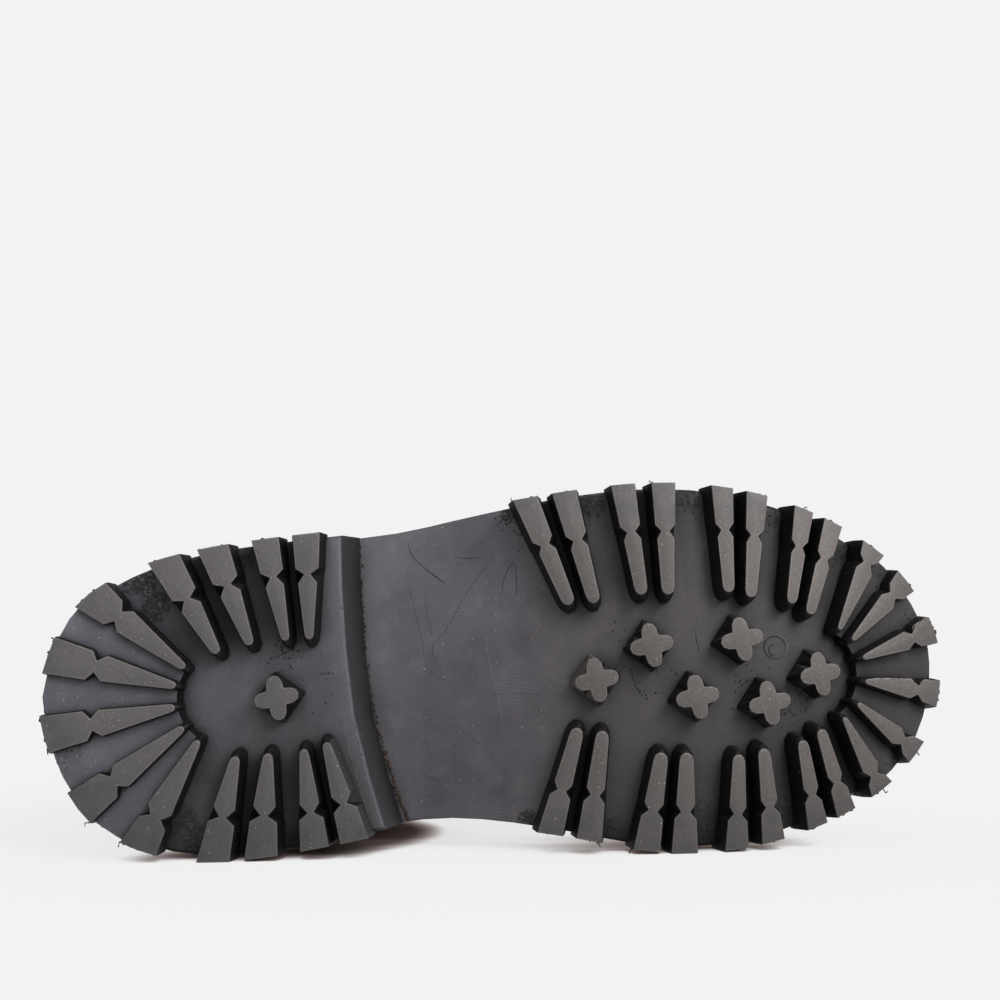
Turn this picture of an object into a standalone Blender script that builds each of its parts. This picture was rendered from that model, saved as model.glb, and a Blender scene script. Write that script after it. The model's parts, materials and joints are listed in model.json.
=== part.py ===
"""Right motorcycle boot, empty, lying on its inner side.

The boot is modelled standing: station s runs from the heel's back to the toe, y points to the
inner (medial) side and h is the height over the tread. An empty then lays it down, so that the
tread faces -Y, the toe +X, the shaft's mouth +Y and the inner side the floor at z = 0.
"""

import math

import bmesh
import bpy
import numpy as np
from mathutils import Matrix, Vector

MM = 0.001  # every size below is in millimetres
GAP = 0.3  # between pieces that meet
SMOOTH_BELOW = math.radians(30)

# Sole
HEEL_TIP = (-0.8, 2.0)  # station and y of the outline's two ends
TOE_TIP = (294.5, -9.0)
SOLE_EDGE = (  # station, lateral, medial: the plate's two edges from the middle line
    (4, 17.5, 21.0),
    (10, 26.6, 32.0),
    (18, 33.2, 41.3),
    (32, 40.0, 48.8),
    (50, 44.8, 52.3),
    (70, 48.0, 51.2),
    (90, 50.4, 47.9),
    (110, 52.9, 44.0),
    (130, 57.0, 41.9),
    (150, 60.6, 42.6),
    (170, 64.0, 45.3),
    (190, 66.2, 49.0),
    (210, 66.2, 49.8),
    (230, 63.4, 47.4),
    (250, 57.2, 41.6),
    (266, 49.4, 34.2),
    (278, 40.7, 25.9),
    (288, 28.7, 14.8),
    (293, 18.4, 2.6),
)
PLATE = 7.0  # thickness of the outsole's plate
PLATE_CHAMFER = 1.0
LUG_HEIGHT = 8.5  # tread to the field between the lugs
SEAT_HEIGHT = 23.0  # tread to the plate's underside over the heel
ARCH = (114.0, 168.0)  # stations between which the plate comes down to the forefoot
SPRING_START = 185.0  # the toe spring is an arc that starts here
SPRING_RADIUS = 325.0

# Heel block
BREAST = ((-80, 92.0), (-34, 93.6), (-14, 95.2), (8, 98.2), (28, 103.6), (46, 109.4), (80, 120.4))  # y, station
BREAST_SLANT = 5.0  # how much further forward the breast is at its foot

# Lugs
OVERHANG = 0.9  # the lugs stand proud of the plate's edge
LUG_RISE = 3.0  # and run this far up the side wall
LUG_SINK = 0.4  # the straight foot of a lug starts this far inside the plate
DRAFT = 1.3  # a lug of full height is wider at its foot by this on each side
TIP_STEP = 1.6  # depth and length of the step at the inner tip

# Widths as shares of the outer width at the notch's two shoulders, its neck and the inner tip,
# and the lengths of the notch's two flanks
BAR_FORM = {"shoulder": 0.84, "neck": 0.33, "second": 0.72, "tip": 0.54, "outward": 2.1, "inward": 2.4}
HEEL_BAR_FORM = {"shoulder": 0.84, "neck": 0.20, "second": 0.68, "tip": 0.33, "outward": 1.9, "inward": 2.9}
FAN_FORM = {"shoulder": 0.80, "neck": 0.30, "second": 0.70, "tip": 0.22, "outward": 2.1, "inward": 2.9}

FORE_PAIRS = (  # side, station, spread of the two bars, lean, reach, width, notch
    (-1, 160.0, 12.7, 71.2, 37.2, 8.0, 0.445),
    (-1, 192.2, 13.3, 84.6, 36.0, 7.8, 0.440),
    (-1, 224.3, 11.8, 91.2, 34.0, 7.2, 0.415),
    (-1, 251.5, 10.3, 103.4, 31.2, 6.7, 0.408),
    (1, 167.4, 12.4, 78.4, 34.3, 8.0, 0.412),
    (1, 197.8, 12.1, 84.0, 30.7, 8.4, 0.410),
    (1, 226.8, 12.1, 91.2, 29.0, 7.6, 0.370),
    (1, 253.0, 10.0, 103.2, 27.3, 7.0, 0.368),
)
PAIR_SPLAY = 7.6  # degrees between the two bars of a pair

HEEL_BARS = (  # side, station, lean, reach, width, notch
    (-1, 36.9, 59.1, 35.0, 10.1, 0.44),
    (-1, 52.5, 67.7, 33.8, 9.9, 0.40),
    (-1, 69.4, 77.3, 33.4, 8.7, 0.385),
    (-1, 82.6, 87.2, 33.8, 8.9, 0.39),
    (1, 55.3, 78.9, 32.7, 10.1, 0.425),
    (1, 70.3, 87.2, 32.2, 10.3, 0.405),
    (1, 87.1, 97.4, 31.0, 9.1, 0.365),
    (1, 99.6, 107.2, 31.9, 9.0, 0.38),
)

# Fans of lugs round the toe and the heel's back, each on a raised platform with a round inner edge
TOE_FAN = {
    "centre": (250.5, -5.4),
    "angles": (-63.5, -43.4, -18.8, 8.6, 36.8, 61.0),
    "inner": 16.4,
    "edge": 15.6,
    "width": 8.9,
    "rise": 3.5,
    "notches": (0.20, 0.26, 0.30, 0.29, 0.24, 0.21),
}
HEEL_FAN = {
    "centre": (57.0, 2.0),
    "angles": (118.3, 142.0, 168.2, 193.4, 217.0),
    "inner": 15.7,
    "edge": 15.2,
    "width": 11.9,
    "rise": 5.5,
    "notches": (0.30, 0.34, 0.367, 0.374, 0.31),
}
PLATFORM_INSET = -0.3  # from the plate's edge
PLATFORM_DRAFT = 1.2
PLATFORM_TUCK = 1.5  # degrees by which its sides lie within the first and the last lug

# Four-leaf studs
FORE_STUDS = ((176.5, -3.5), (194.3, -14.6), (208.9, 1.9), (224.0, -16.6), (232.8, 3.9), (250.5, -5.4))
HEEL_STUD = (74.1, 2.2)
STUD = {"leaf": 2.45, "offset": 4.7, "waist": 3.85, "foot_leaf": 0.8, "foot_offset": 7.7, "turn": -11.0}

# Upper: a ring lies in the plane through its top and its low point, square to the middle plane
UPPER_WALL = 2.2
UPPER_GAP = 0.6  # over the plate
UPPER_RINGS = (  # top x, top z, low x, rise over the plate, lateral, medial, widest, low roundness, top roundness
    (281.6, 50.0, 282.0, 6.0, 19.0, 1.0, 0.50, 2.2, 2.2),
    (279.4, 60.5, 280.4, 1.5, 30.0, 11.5, 0.42, 3.2, 2.2),
    (273.5, 69.0, 276.4, 0.2, 37.5, 20.5, 0.38, 5.0, 2.3),
    (263.0, 74.5, 267.5, 0.0, 44.0, 28.5, 0.36, 7.0, 2.3),
    (247.0, 77.0, 252.0, 0.0, 51.0, 36.2, 0.34, 8.0, 2.3),
    (226.0, 79.5, 229.5, 0.0, 56.4, 42.0, 0.33, 8.0, 2.2),
    (205.0, 84.5, 206.0, 0.0, 58.4, 44.4, 0.32, 8.0, 2.1),
    (187.0, 92.5, 185.0, 0.0, 57.6, 42.8, 0.32, 8.0, 2.0),
    (176.0, 99.0, 167.0, 0.0, 55.2, 39.8, 0.33, 8.0, 1.95),
    (166.0, 107.5, 149.0, 0.0, 53.2, 38.0, 0.35, 8.0, 1.95),
    (157.0, 117.5, 131.0, 0.0, 50.0, 37.4, 0.38, 8.0, 2.0),
    (149.5, 128.0, 112.0, 0.0, 46.8, 39.2, 0.40, 8.0, 2.05),
    (143.5, 139.5, 90.0, 0.0, 44.4, 42.2, 0.42, 8.0, 2.1),
    (138.5, 152.0, 62.0, 0.0, 42.4, 44.8, 0.44, 8.0, 2.2),
    (135.2, 164.0, 34.0, 0.0, 41.4, 45.4, 0.46, 7.0, 2.2),
    (133.2, 174.5, 13.0, 0.3, 41.6, 45.0, 0.48, 4.6, 2.2),
    (132.2, 184.0, 7.0, 9.0, 42.0, 45.4, 0.50, 3.0, 2.2),
    (131.6, 194.5, 6.0, 32.0, 42.4, 45.8, 0.50, 2.3, 2.2),
    (131.6, 205.5, 9.5, 62.0, 42.9, 46.3, 0.50, 2.2, 2.2),
    (132.2, 217.0, 12.0, 97.0, 43.8, 47.2, 0.50, 2.2, 2.2),
    (133.6, 232.5, 10.5, 141.0, 45.2, 49.0, 0.50, 2.2, 2.2),
    (136.2, 251.0, 6.0, 188.0, 47.0, 51.2, 0.50, 2.2, 2.2),
    (139.5, 272.0, 0.5, 236.0, 49.0, 53.1, 0.50, 2.2, 2.2),
)
RING_POINTS = 24
RINGS_BETWEEN = 2
LASTING_MARGIN = 25.0  # from the plate's edge to the opening underneath the upper

# Insole
INSOLE = 3.0
INSOLE_GAP = 0.9  # over the upper's turned-in margin
INSOLE_INSET = 20.0  # from the plate's edge

# Rest: turned in the floor's plane until heel and ball both touch
REST_TURN = 0.93


def catmull_rom(before, start, end, after, t):
    """Point between start and end on a smooth curve through all four."""
    return 0.5 * (
        2 * start
        + (end - before) * t
        + (2 * before - 5 * start + 4 * end - after) * t**2
        + (3 * start - before - 3 * end + after) * t**3
    )


def sole_outline(inset=0.0, steps=2):
    """Plan of the sole, counter-clockwise, with its edge moved inwards by inset."""
    lateral = [(station, -reach) for station, reach, _ in SOLE_EDGE]
    medial = [(station, reach) for station, _, reach in reversed(SOLE_EDGE)]
    knots = np.array([HEEL_TIP, *lateral, TOE_TIP, *medial], dtype=float)
    count = len(knots)
    points = np.array(
        [
            catmull_rom(knots[i - 1], knots[i], knots[(i + 1) % count], knots[(i + 2) % count], step / steps)
            for i in range(count)
            for step in range(steps)
        ]
    )
    along = np.roll(points, -1, axis=0) - np.roll(points, 1, axis=0)
    inward = np.column_stack((-along[:, 1], along[:, 0])) / np.linalg.norm(along, axis=1)[:, None]
    return points + inset * inward


def inner_outline(inset):
    """Plan well inside the sole's edge, without the points that would fold over at its ends."""
    edge = sole_outline()
    plan = sole_outline(inset)
    return [point for point in plan if np.linalg.norm(edge - point, axis=1).min() > inset - 0.2]


def field_height(station):
    """Tread to the plate's underside: the heel's seat, the arch and the forefoot's field."""
    t = min(max((station - ARCH[0]) / (ARCH[1] - ARCH[0]), 0.0), 1.0)
    return SEAT_HEIGHT + (LUG_HEIGHT - SEAT_HEIGHT) * t * t * (3 - 2 * t)


def spring_angle(station):
    return max(station - SPRING_START, 0.0) / SPRING_RADIUS


def sprung(station, y, height):
    """Place a point of the flat sole on the curve of the toe spring."""
    angle = spring_angle(station)
    start = min(station, SPRING_START)
    x = start + (SPRING_RADIUS - height) * math.sin(angle)
    z = SPRING_RADIUS - (SPRING_RADIUS - height) * math.cos(angle)
    return Vector((x, y, z))


def flat(station, y, height):
    """The heel stands on the flat part of the sole."""
    return Vector((station, y, height))


def on_plate(station, y, height):
    """The same for a height counted from the plate's underside."""
    return sprung(station, y, height + field_height(station))


def plate_top(x):
    """Height of the plate's upper side over the ground at x."""
    ahead = max(x - SPRING_START, 0.0)
    radius = SPRING_RADIUS - PLATE - field_height(x)
    return SPRING_RADIUS - math.sqrt(radius * radius - ahead * ahead)


def square_to_sole(station):
    """Frame of a lug or stud: flat-topped, and square to the sole at its own station."""
    place = sprung(station, 0.0, 0.0)
    turn = Matrix.Rotation(-spring_angle(station), 4, "Y")
    return Matrix.Translation(place) @ turn @ Matrix.Translation((-station, 0, 0))


def loft(rings):
    """Closed body through rings of equal count, each counter-clockwise seen from the last."""
    bm = bmesh.new()
    loops = [[bm.verts.new(point) for point in ring] for ring in rings]
    for lower, upper in zip(loops, loops[1:]):
        for i, vert in enumerate(lower):
            bm.faces.new((lower[i - 1], vert, upper[i], upper[i - 1]))
    bm.faces.new(reversed(loops[0]))
    bm.faces.new(loops[-1])
    return bm


def slab(levels, place, spacing=9.0):
    """Body of stacked plans, cut across every few millimetres and then placed on the sole's curve."""
    bm = loft([[(s, y, height) for s, y in plan] for height, plan in levels])
    stations = [vert.co.x for vert in bm.verts]
    for station in np.arange(min(stations) + spacing / 2, max(stations), spacing):
        parts = bm.verts[:] + bm.edges[:] + bm.faces[:]
        bmesh.ops.bisect_plane(bm, geom=parts, dist=1e-4, plane_co=(station, 0, 0), plane_no=(1, 0, 0))
    for vert in bm.verts:
        vert.co = place(*vert.co)
    return bm


def edge_distance(origin, direction):
    """Distance from a point inside the sole to the lugs' outline, along a direction."""
    plan = sole_outline(-OVERHANG, steps=8)
    offsets = plan - origin
    ahead = offsets @ direction
    aside = offsets[:, 0] * direction[1] - offsets[:, 1] * direction[0]
    for i in range(len(plan)):
        if aside[i - 1] * aside[i] <= 0 and ahead[i] > 0:
            share = aside[i - 1] / (aside[i - 1] - aside[i])
            return ahead[i - 1] + share * (ahead[i] - ahead[i - 1])
    raise ValueError("the direction misses the outline")


def lug(tip, degrees, width, form, notch, wall):
    """Bar with a notch in each side, from its inner tip out to the sole's edge.

    wall is the height that shows. Below it the bar goes on into the plate, and down its outer side.
    """
    tip = np.array(tip)
    out = direction(degrees)
    left = np.array((-out[1], out[0]))
    length = edge_distance(tip, out)
    tip_half = width * form["tip"] / 2
    neck_at = length * (1 - notch)
    outer_shoulder = neck_at + form["outward"]
    inner_shoulder = neck_at - form["inward"]

    def half_width(distance):
        """Straight flanks on both sides of the notch."""
        if distance > neck_at:
            far = (distance - outer_shoulder) / (length - outer_shoulder)
            return width / 2 * (form["shoulder"] + (1 - form["shoulder"]) * far)
        near = (inner_shoulder - distance) / (inner_shoulder - tip_half)
        return width / 2 * form["second"] * (1 - near) + tip_half * near

    def ring(height, spread, step, neck):
        """One level: spread widens it, step lengthens the tip, neck is the half width at the notch."""
        flank = [outer_shoulder, neck_at, inner_shoulder, tip_half]
        halves = [half_width(outer_shoulder), neck, half_width(inner_shoulder), tip_half]
        points = []
        for side in (1, -1):
            edge = [tip + out * at + left * side * (half + spread) for at, half in zip(flank, halves)]
            corner_half = side * (width / 2 + spread)
            start = tip + left * corner_half
            corner = start + out * edge_distance(start, out)
            line = [corner, *edge]
            points.append(line if side > 0 else line[::-1])
        radius = tip_half + spread
        round_tip = [
            tip + out * (tip_half - (radius + step) * math.sin(a)) + left * radius * math.cos(a)
            for a in np.radians((36, 72, 108, 144))
        ]
        crown = [tip + out * length]
        plan = [*points[0], *round_tip, *points[1], *crown]
        return [(s, y, height) for s, y in plan]

    straight = (half_width(outer_shoulder) + half_width(inner_shoulder)) / 2
    neck_half = width * form["neck"] / 2

    def half_neck(height):
        """The notch is gone at the foot of a lug of full height."""
        return neck_half + (straight - neck_half) * min(height / LUG_HEIGHT, 1)

    draft = DRAFT * wall / LUG_HEIGHT
    levels = [
        ring(0.0, 0.0, 0.0, half_neck(0.0)),
        ring(TIP_STEP, draft * TIP_STEP / wall, TIP_STEP, half_neck(TIP_STEP)),
        ring(wall + LUG_SINK, draft, TIP_STEP, half_neck(wall)),
        ring(LUG_HEIGHT + LUG_RISE, draft, TIP_STEP, half_neck(wall)),
    ]
    bm = loft(levels)
    bmesh.ops.transform(bm, matrix=square_to_sole((tip + out * length / 2)[0]), verts=bm.verts)
    return bm


def bar(side, station, lean, reach, width, notch, form=BAR_FORM):
    """Bar on one side, given by the station of its outer end, its lean and its length."""
    edge = np.interp(station, [row[0] for row in SOLE_EDGE], [row[1 if side < 0 else 2] for row in SOLE_EDGE])
    inward = direction(-side * lean)
    tip = np.array((station, side * (edge + OVERHANG))) + inward * reach
    degrees = math.degrees(math.atan2(-inward[1], -inward[0]))
    return lug(tip, degrees, width, form, notch, LUG_HEIGHT)


def pair(side, station, spread, lean, reach, width, notch):
    """Two bars side by side, a little closer at their inner tips."""
    return [
        bar(side, station + end * spread / 2, lean + end * PAIR_SPLAY / 2, reach, width, notch) for end in (-1, 1)
    ]


def direction(degrees):
    return np.array((math.cos(math.radians(degrees)), math.sin(math.radians(degrees))))


def fan(layout):
    """Lugs set like rays round a centre."""
    wall = LUG_HEIGHT - layout["rise"]
    return [
        lug(layout["centre"] + direction(degrees) * layout["inner"], degrees, layout["width"], FAN_FORM, notch, wall)
        for degrees, notch in zip(layout["angles"], layout["notches"])
    ]


def platform(layout, place):
    """Raised sector that carries a fan, from within its first lug to within its last."""
    centre = np.array(layout["centre"])
    first, last = layout["angles"][0] + PLATFORM_TUCK, layout["angles"][-1] - PLATFORM_TUCK
    plan = sole_outline(PLATFORM_INSET)
    turns = (np.degrees(np.arctan2(plan[:, 1] - centre[1], plan[:, 0] - centre[0])) - first) % 360
    between = turns < last - first
    rim = plan[between][np.argsort(turns[between])]
    low, high = (
        centre + direction(turn) * (edge_distance(centre, direction(turn)) - OVERHANG - PLATFORM_INSET)
        for turn in (first, last)
    )
    levels = []
    for height, radius in (
        (LUG_HEIGHT - layout["rise"], layout["edge"]),
        (LUG_HEIGHT + LUG_RISE / 2, layout["edge"] - PLATFORM_DRAFT),
    ):
        inner = [centre + radius * direction(turn) for turn in np.linspace(last, first, 13)]
        levels.append((height, [low, *rim, high, *inner]))
    return slab(levels, place, spacing=6.0)


def stud(station, y):
    """Stud with four round leaves on top and a square foot, one corner under each leaf."""

    def ring(height, leaf, offset, waist):
        points = []
        for quarter in range(4):
            aim = math.radians(STUD["turn"] + 90 * quarter)
            for spread in (-76, -38, 0, 38, 76):
                turn = aim + math.radians(spread)
                points.append(
                    (
                        station + offset * math.cos(aim) + leaf * math.cos(turn),
                        y + offset * math.sin(aim) + leaf * math.sin(turn),
                        height,
                    )
                )
            valley = aim + math.radians(45)
            points.append((station + waist * math.cos(valley), y + waist * math.sin(valley), height))
        return points

    foot_waist = (STUD["foot_offset"] + STUD["foot_leaf"] * math.sqrt(2)) / math.sqrt(2)
    foot = (STUD["foot_leaf"], STUD["foot_offset"], foot_waist)
    bm = loft(
        [
            ring(0.0, STUD["leaf"], STUD["offset"], STUD["waist"]),
            ring(LUG_HEIGHT + LUG_SINK, *foot),
            ring(LUG_HEIGHT + LUG_RISE / 2, *foot),
        ]
    )
    bmesh.ops.transform(bm, matrix=square_to_sole(station), verts=bm.verts)
    return bm


def upper_rings():
    """Rings of the upper's outer face, from the toe over the instep and up the shaft."""
    rows = np.array(UPPER_RINGS)
    rows = np.vstack((2 * rows[0] - rows[1], rows, 2 * rows[-1] - rows[-2]))
    sections = [
        catmull_rom(rows[i - 1], rows[i], rows[i + 1], rows[i + 2], step / RINGS_BETWEEN)
        for i in range(1, len(rows) - 2)
        for step in range(RINGS_BETWEEN)
    ]
    sections.append(rows[-2])
    rings = []
    for top_x, top_z, low_x, rise_over, lateral, medial, widest, low_round, top_round in sections:
        top, low = Vector((top_x, 0, top_z)), Vector((low_x, 0, plate_top(low_x) + UPPER_GAP + rise_over))
        middle = low.lerp(top, widest)
        half = (lateral + medial) / 2
        across = (medial - lateral) / 2
        ring = []
        for i in range(RING_POINTS):
            turn = 2 * math.pi * i / RING_POINTS
            rise, side = math.sin(turn), math.cos(turn)
            power = 2 / (top_round if rise >= 0 else low_round)
            end = top if rise >= 0 else low
            point = middle.lerp(end, abs(rise) ** power)
            point.y = across + half * math.copysign(abs(side) ** power, side)
            ring.append(point)
        rings.append(ring)
    return rings


def upper_shell():
    """Open surface of the upper: closed at the toe, open at the collar."""
    bm = bmesh.new()
    loops = [[bm.verts.new(point) for point in ring] for ring in upper_rings()]
    for front, back in zip(loops, loops[1:]):
        for i in range(RING_POINTS):
            bm.faces.new((front[i - 1], front[i], back[i], back[i - 1]))
    bm.faces.new(reversed(loops[0]))
    return bm


def make_object(name, bm, collection, material=None):
    """Object from a body in millimetres."""
    bmesh.ops.transform(bm, matrix=Matrix.Scale(MM, 4), verts=bm.verts)
    bmesh.ops.recalc_face_normals(bm, faces=bm.faces)
    mesh = bpy.data.meshes.new(name)
    bm.to_mesh(mesh)
    bm.free()
    mesh.shade_smooth()
    mesh.set_sharp_from_angle(angle=SMOOTH_BELOW)
    if material:
        mesh.materials.append(material)
    item = bpy.data.objects.new(name, mesh)
    collection.objects.link(item)
    return item


def make_cutter(name, bm, collection):
    item = make_object(name, bm, collection)
    item.hide_render = True
    item.display_type = "WIRE"
    return item


def combine(item, other, operation):
    boolean = item.modifiers.new(other.name, "BOOLEAN")
    boolean.operation = operation
    boolean.solver = "EXACT"
    boolean.object = other
    return boolean


def joined(bodies):
    """One mesh of several bodies."""
    bm = bmesh.new()
    for body in bodies:
        mesh = bpy.data.meshes.new("body")
        bmesh.ops.recalc_face_normals(body, faces=body.faces)
        body.to_mesh(mesh)
        bm.from_mesh(mesh)
        bpy.data.meshes.remove(mesh)
        body.free()
    return bm


def make_material(name, color, roughness):
    material = bpy.data.materials.new(name)
    material.use_nodes = True
    shader = material.node_tree.nodes["Principled BSDF"]
    shader.inputs["Base Color"].default_value = (*color, 1)
    shader.inputs["Roughness"].default_value = roughness
    shader.inputs["Metallic"].default_value = 0
    return material


def make_outsole(parts, cutters, rubber):
    """Full-length plate with the forefoot's lugs and studs."""
    levels = [
        (0.0, sole_outline(PLATE_CHAMFER)),
        (PLATE_CHAMFER, sole_outline()),
        (PLATE, sole_outline()),
    ]
    outsole = make_object("outsole", slab(levels, on_plate), parts, rubber)
    bars = [body for row in FORE_PAIRS for body in pair(*row)]
    studs = [stud(*place) for place in FORE_STUDS]
    combine(outsole, make_cutter("toe_platform", platform(TOE_FAN, sprung), cutters), "UNION")
    combine(outsole, make_cutter("forefoot_tread", joined(bars + studs + fan(TOE_FAN)), cutters), "UNION")
    return outsole


def breast_body():
    """Body in front of the heel's breast, which slants forward towards its foot."""
    levels = []
    for height in (-BREAST_SLANT, SEAT_HEIGHT + BREAST_SLANT):
        forward = BREAST_SLANT * (height - LUG_HEIGHT) / (SEAT_HEIGHT - LUG_HEIGHT)
        line = [(station + forward, y) for y, station in BREAST]
        far = TOE_TIP[0] + BREAST_SLANT
        ring = [*reversed(line), (far, line[0][1]), (far, line[-1][1])]
        levels.append([(s, y, height) for s, y in ring])
    return loft(levels)


def make_heel(parts, cutters, rubber):
    """Block under the seat with its own lugs and stud."""
    levels = [
        (LUG_HEIGHT, sole_outline(PLATE_CHAMFER)),
        (LUG_HEIGHT + PLATE_CHAMFER, sole_outline()),
        (SEAT_HEIGHT - GAP, sole_outline()),
    ]
    heel = make_object("heel", slab(levels, flat), parts, rubber)
    combine(heel, make_cutter("breast", breast_body(), cutters), "DIFFERENCE")
    bars = [bar(*row, HEEL_BAR_FORM) for row in HEEL_BARS]
    combine(heel, make_cutter("heel_platform", platform(HEEL_FAN, flat), cutters), "UNION")
    combine(heel, make_cutter("heel_tread", joined([*bars, stud(*HEEL_STUD), *fan(HEEL_FAN)]), cutters), "UNION")
    return heel


def make_upper(parts, cutters, leather):
    """Vamp and shaft in one leather wall, open at the collar and underneath."""
    upper = make_object("upper", upper_shell(), parts, leather)
    wall = upper.modifiers.new("wall", "SOLIDIFY")
    wall.thickness = UPPER_WALL * MM
    wall.offset = -1
    wall.use_even_offset = True
    opening = inner_outline(LASTING_MARGIN)
    levels = [(PLATE - 4.0, opening), (PLATE + UPPER_WALL + 3.0, opening)]
    combine(upper, make_cutter("lasting_opening", slab(levels, on_plate), cutters), "DIFFERENCE")
    return upper


def make_insole(parts, leather):
    """Board on the upper's turned-in margin."""
    low = PLATE + UPPER_GAP + UPPER_WALL + INSOLE_GAP
    outline = inner_outline(INSOLE_INSET)
    levels = [(low, outline), (low + INSOLE, outline)]
    return make_object("insole", slab(levels, on_plate), parts, leather)


def lay_down(pieces, cutters):
    """Turn the standing boot onto its inner side, with its box centred over the origin."""
    rest = bpy.data.objects.new("rest", None)
    bpy.context.scene.collection.objects.link(rest)
    for item in [*pieces, *cutters.objects]:
        item.parent = rest
    rest.matrix_world = Matrix.Rotation(math.radians(REST_TURN), 4, "Y") @ Matrix.Rotation(-math.pi / 2, 4, "X")
    bpy.context.view_layer.update()
    graph = bpy.context.evaluated_depsgraph_get()
    corners = []
    for piece in pieces:
        shape = piece.evaluated_get(graph)
        corners += [shape.matrix_world @ vert.co for vert in shape.data.vertices]
    low = [min(corner[axis] for corner in corners) for axis in range(3)]
    high = [max(corner[axis] for corner in corners) for axis in range(3)]
    rest.location = (-(low[0] + high[0]) / 2, -(low[1] + high[1]) / 2, -low[2])


def build_boot():
    for item in list(bpy.data.objects):
        bpy.data.objects.remove(item)
    parts = bpy.data.collections.new("motorcycle_boot")
    cutters = bpy.data.collections.new("cutters")
    for collection in (parts, cutters):
        bpy.context.scene.collection.children.link(collection)
    rubber = make_material("sole_rubber", (0.075, 0.073, 0.078), 0.55)
    leather = make_material("upper_leather", (0.045, 0.022, 0.015), 0.45)
    board = make_material("insole_leather", (0.35, 0.22, 0.13), 0.8)
    pieces = [
        make_outsole(parts, cutters, rubber),
        make_heel(parts, cutters, rubber),
        make_upper(parts, cutters, leather),
        make_insole(parts, board),
    ]
    lay_down(pieces, cutters)


build_boot()
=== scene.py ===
# Looks of a right motorcycle boot that lies on its inner side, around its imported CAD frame.
import json
import math
import random

import bmesh
import bpy
import numpy as np
from mathutils import Matrix, Vector, noise
from mathutils.bvhtree import BVHTree

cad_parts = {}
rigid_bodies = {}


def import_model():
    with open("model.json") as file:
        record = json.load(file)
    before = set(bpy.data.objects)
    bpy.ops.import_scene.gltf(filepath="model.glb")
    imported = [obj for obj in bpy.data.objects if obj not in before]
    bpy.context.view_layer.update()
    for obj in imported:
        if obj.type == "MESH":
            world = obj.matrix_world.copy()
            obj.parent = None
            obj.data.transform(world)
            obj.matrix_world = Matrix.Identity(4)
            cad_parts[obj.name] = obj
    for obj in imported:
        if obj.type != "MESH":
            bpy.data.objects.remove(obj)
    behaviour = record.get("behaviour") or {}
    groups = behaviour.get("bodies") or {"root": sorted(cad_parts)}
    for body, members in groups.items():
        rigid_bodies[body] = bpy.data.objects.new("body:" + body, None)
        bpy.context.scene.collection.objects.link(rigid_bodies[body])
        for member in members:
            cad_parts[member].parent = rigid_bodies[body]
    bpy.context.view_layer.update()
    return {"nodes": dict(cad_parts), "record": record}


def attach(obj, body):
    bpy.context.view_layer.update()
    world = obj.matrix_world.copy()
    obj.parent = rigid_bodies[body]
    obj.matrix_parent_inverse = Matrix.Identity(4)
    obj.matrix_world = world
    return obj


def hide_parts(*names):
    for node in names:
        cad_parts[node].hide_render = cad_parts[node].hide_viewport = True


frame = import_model()
mm = 0.001

# The standing boot's own frame: station from the heel's back to the toe, across to the inner side,
# height over the tread. All sizes below are in it, in millimetres.
boot = {
    "restTurn": 0.93,  # degrees by which the lying boot is turned, so that heel and ball both touch
    "heelMount": (74.1, 2.2, 0.0),  # the heel stud's top in the boot's frame
    "springStart": 185.0,
    "springRadius": 325.0,
    "lugHeight": 8.5,
    "seatHeight": 23.0,
    "arch": (114.0, 168.0),
    "plate": 7.0,
    "middle": (50.0, 245.0, -6.0),  # the sole's middle line: from, to, across
}

turn = Matrix.Rotation(math.radians(boot["restTurn"]), 4, "Y")
mounts = {mount["name"]: mount for mount in frame["record"]["mounts"]}
toRest = turn @ Matrix.Rotation(-math.pi / 2, 4, "X") @ Matrix.Scale(mm, 4)
bootOrigin = Vector(mounts["heel_rest"]["pos_m"]) - (toRest @ Vector(boot["heelMount"]))
toRest = Matrix.Translation(bootOrigin) @ toRest
toBoot = toRest.inverted()
turnToBoot = toBoot.to_3x3().normalized()


def resting(station, across, height):
    return toRest @ Vector((station, across, height))


def springAngle(place):
    # angle of the toe spring at a place given in the boot's frame
    if place.x <= boot["springStart"]:
        return 0.0
    return math.atan2(place.x - boot["springStart"], boot["springRadius"] - place.z)


def heightOverTread(place):
    if place.x <= boot["springStart"]:
        return place.z
    radius = boot["springRadius"]
    return radius - math.hypot(place.x - boot["springStart"], radius - place.z)


def towardsGround(place):
    angle = springAngle(place)
    return Vector((math.sin(angle), 0, -math.cos(angle)))


def outwards(place):
    start, end, across = boot["middle"]
    away = Vector((place.x - min(max(place.x, start), end), place.y - across, 0))
    return away.normalized()


# small tools shared by the pieces
def deselectAll():
    for item in bpy.context.selected_objects:
        item.select_set(False)
    bpy.context.view_layer.objects.active = None


def makeActive(item):
    deselectAll()
    item.select_set(True)
    bpy.context.view_layer.objects.active = item


def editAll(item):
    makeActive(item)
    bpy.ops.object.mode_set(mode="EDIT")
    bpy.ops.mesh.select_all(action="SELECT")


def twinOf(model, place=None):
    # a copy with its own mesh
    twin = model.copy()
    twin.data = model.data.copy()
    if place is not None:
        twin.matrix_world = place
    bpy.context.scene.collection.objects.link(twin)
    return twin


def copyOfNode(node, name):
    piece = twinOf(frame["nodes"][node])
    piece.name = piece.data.name = name
    piece.parent = None
    for key in list(piece.keys()):
        del piece[key]
    piece.data.materials.clear()
    editAll(piece)
    bpy.ops.mesh.remove_doubles(threshold=0.01 * mm)
    bpy.ops.mesh.normals_make_consistent(inside=False)
    bpy.ops.object.mode_set(mode="OBJECT")
    bpy.ops.mesh.customdata_custom_splitnormals_clear()
    return piece


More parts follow.
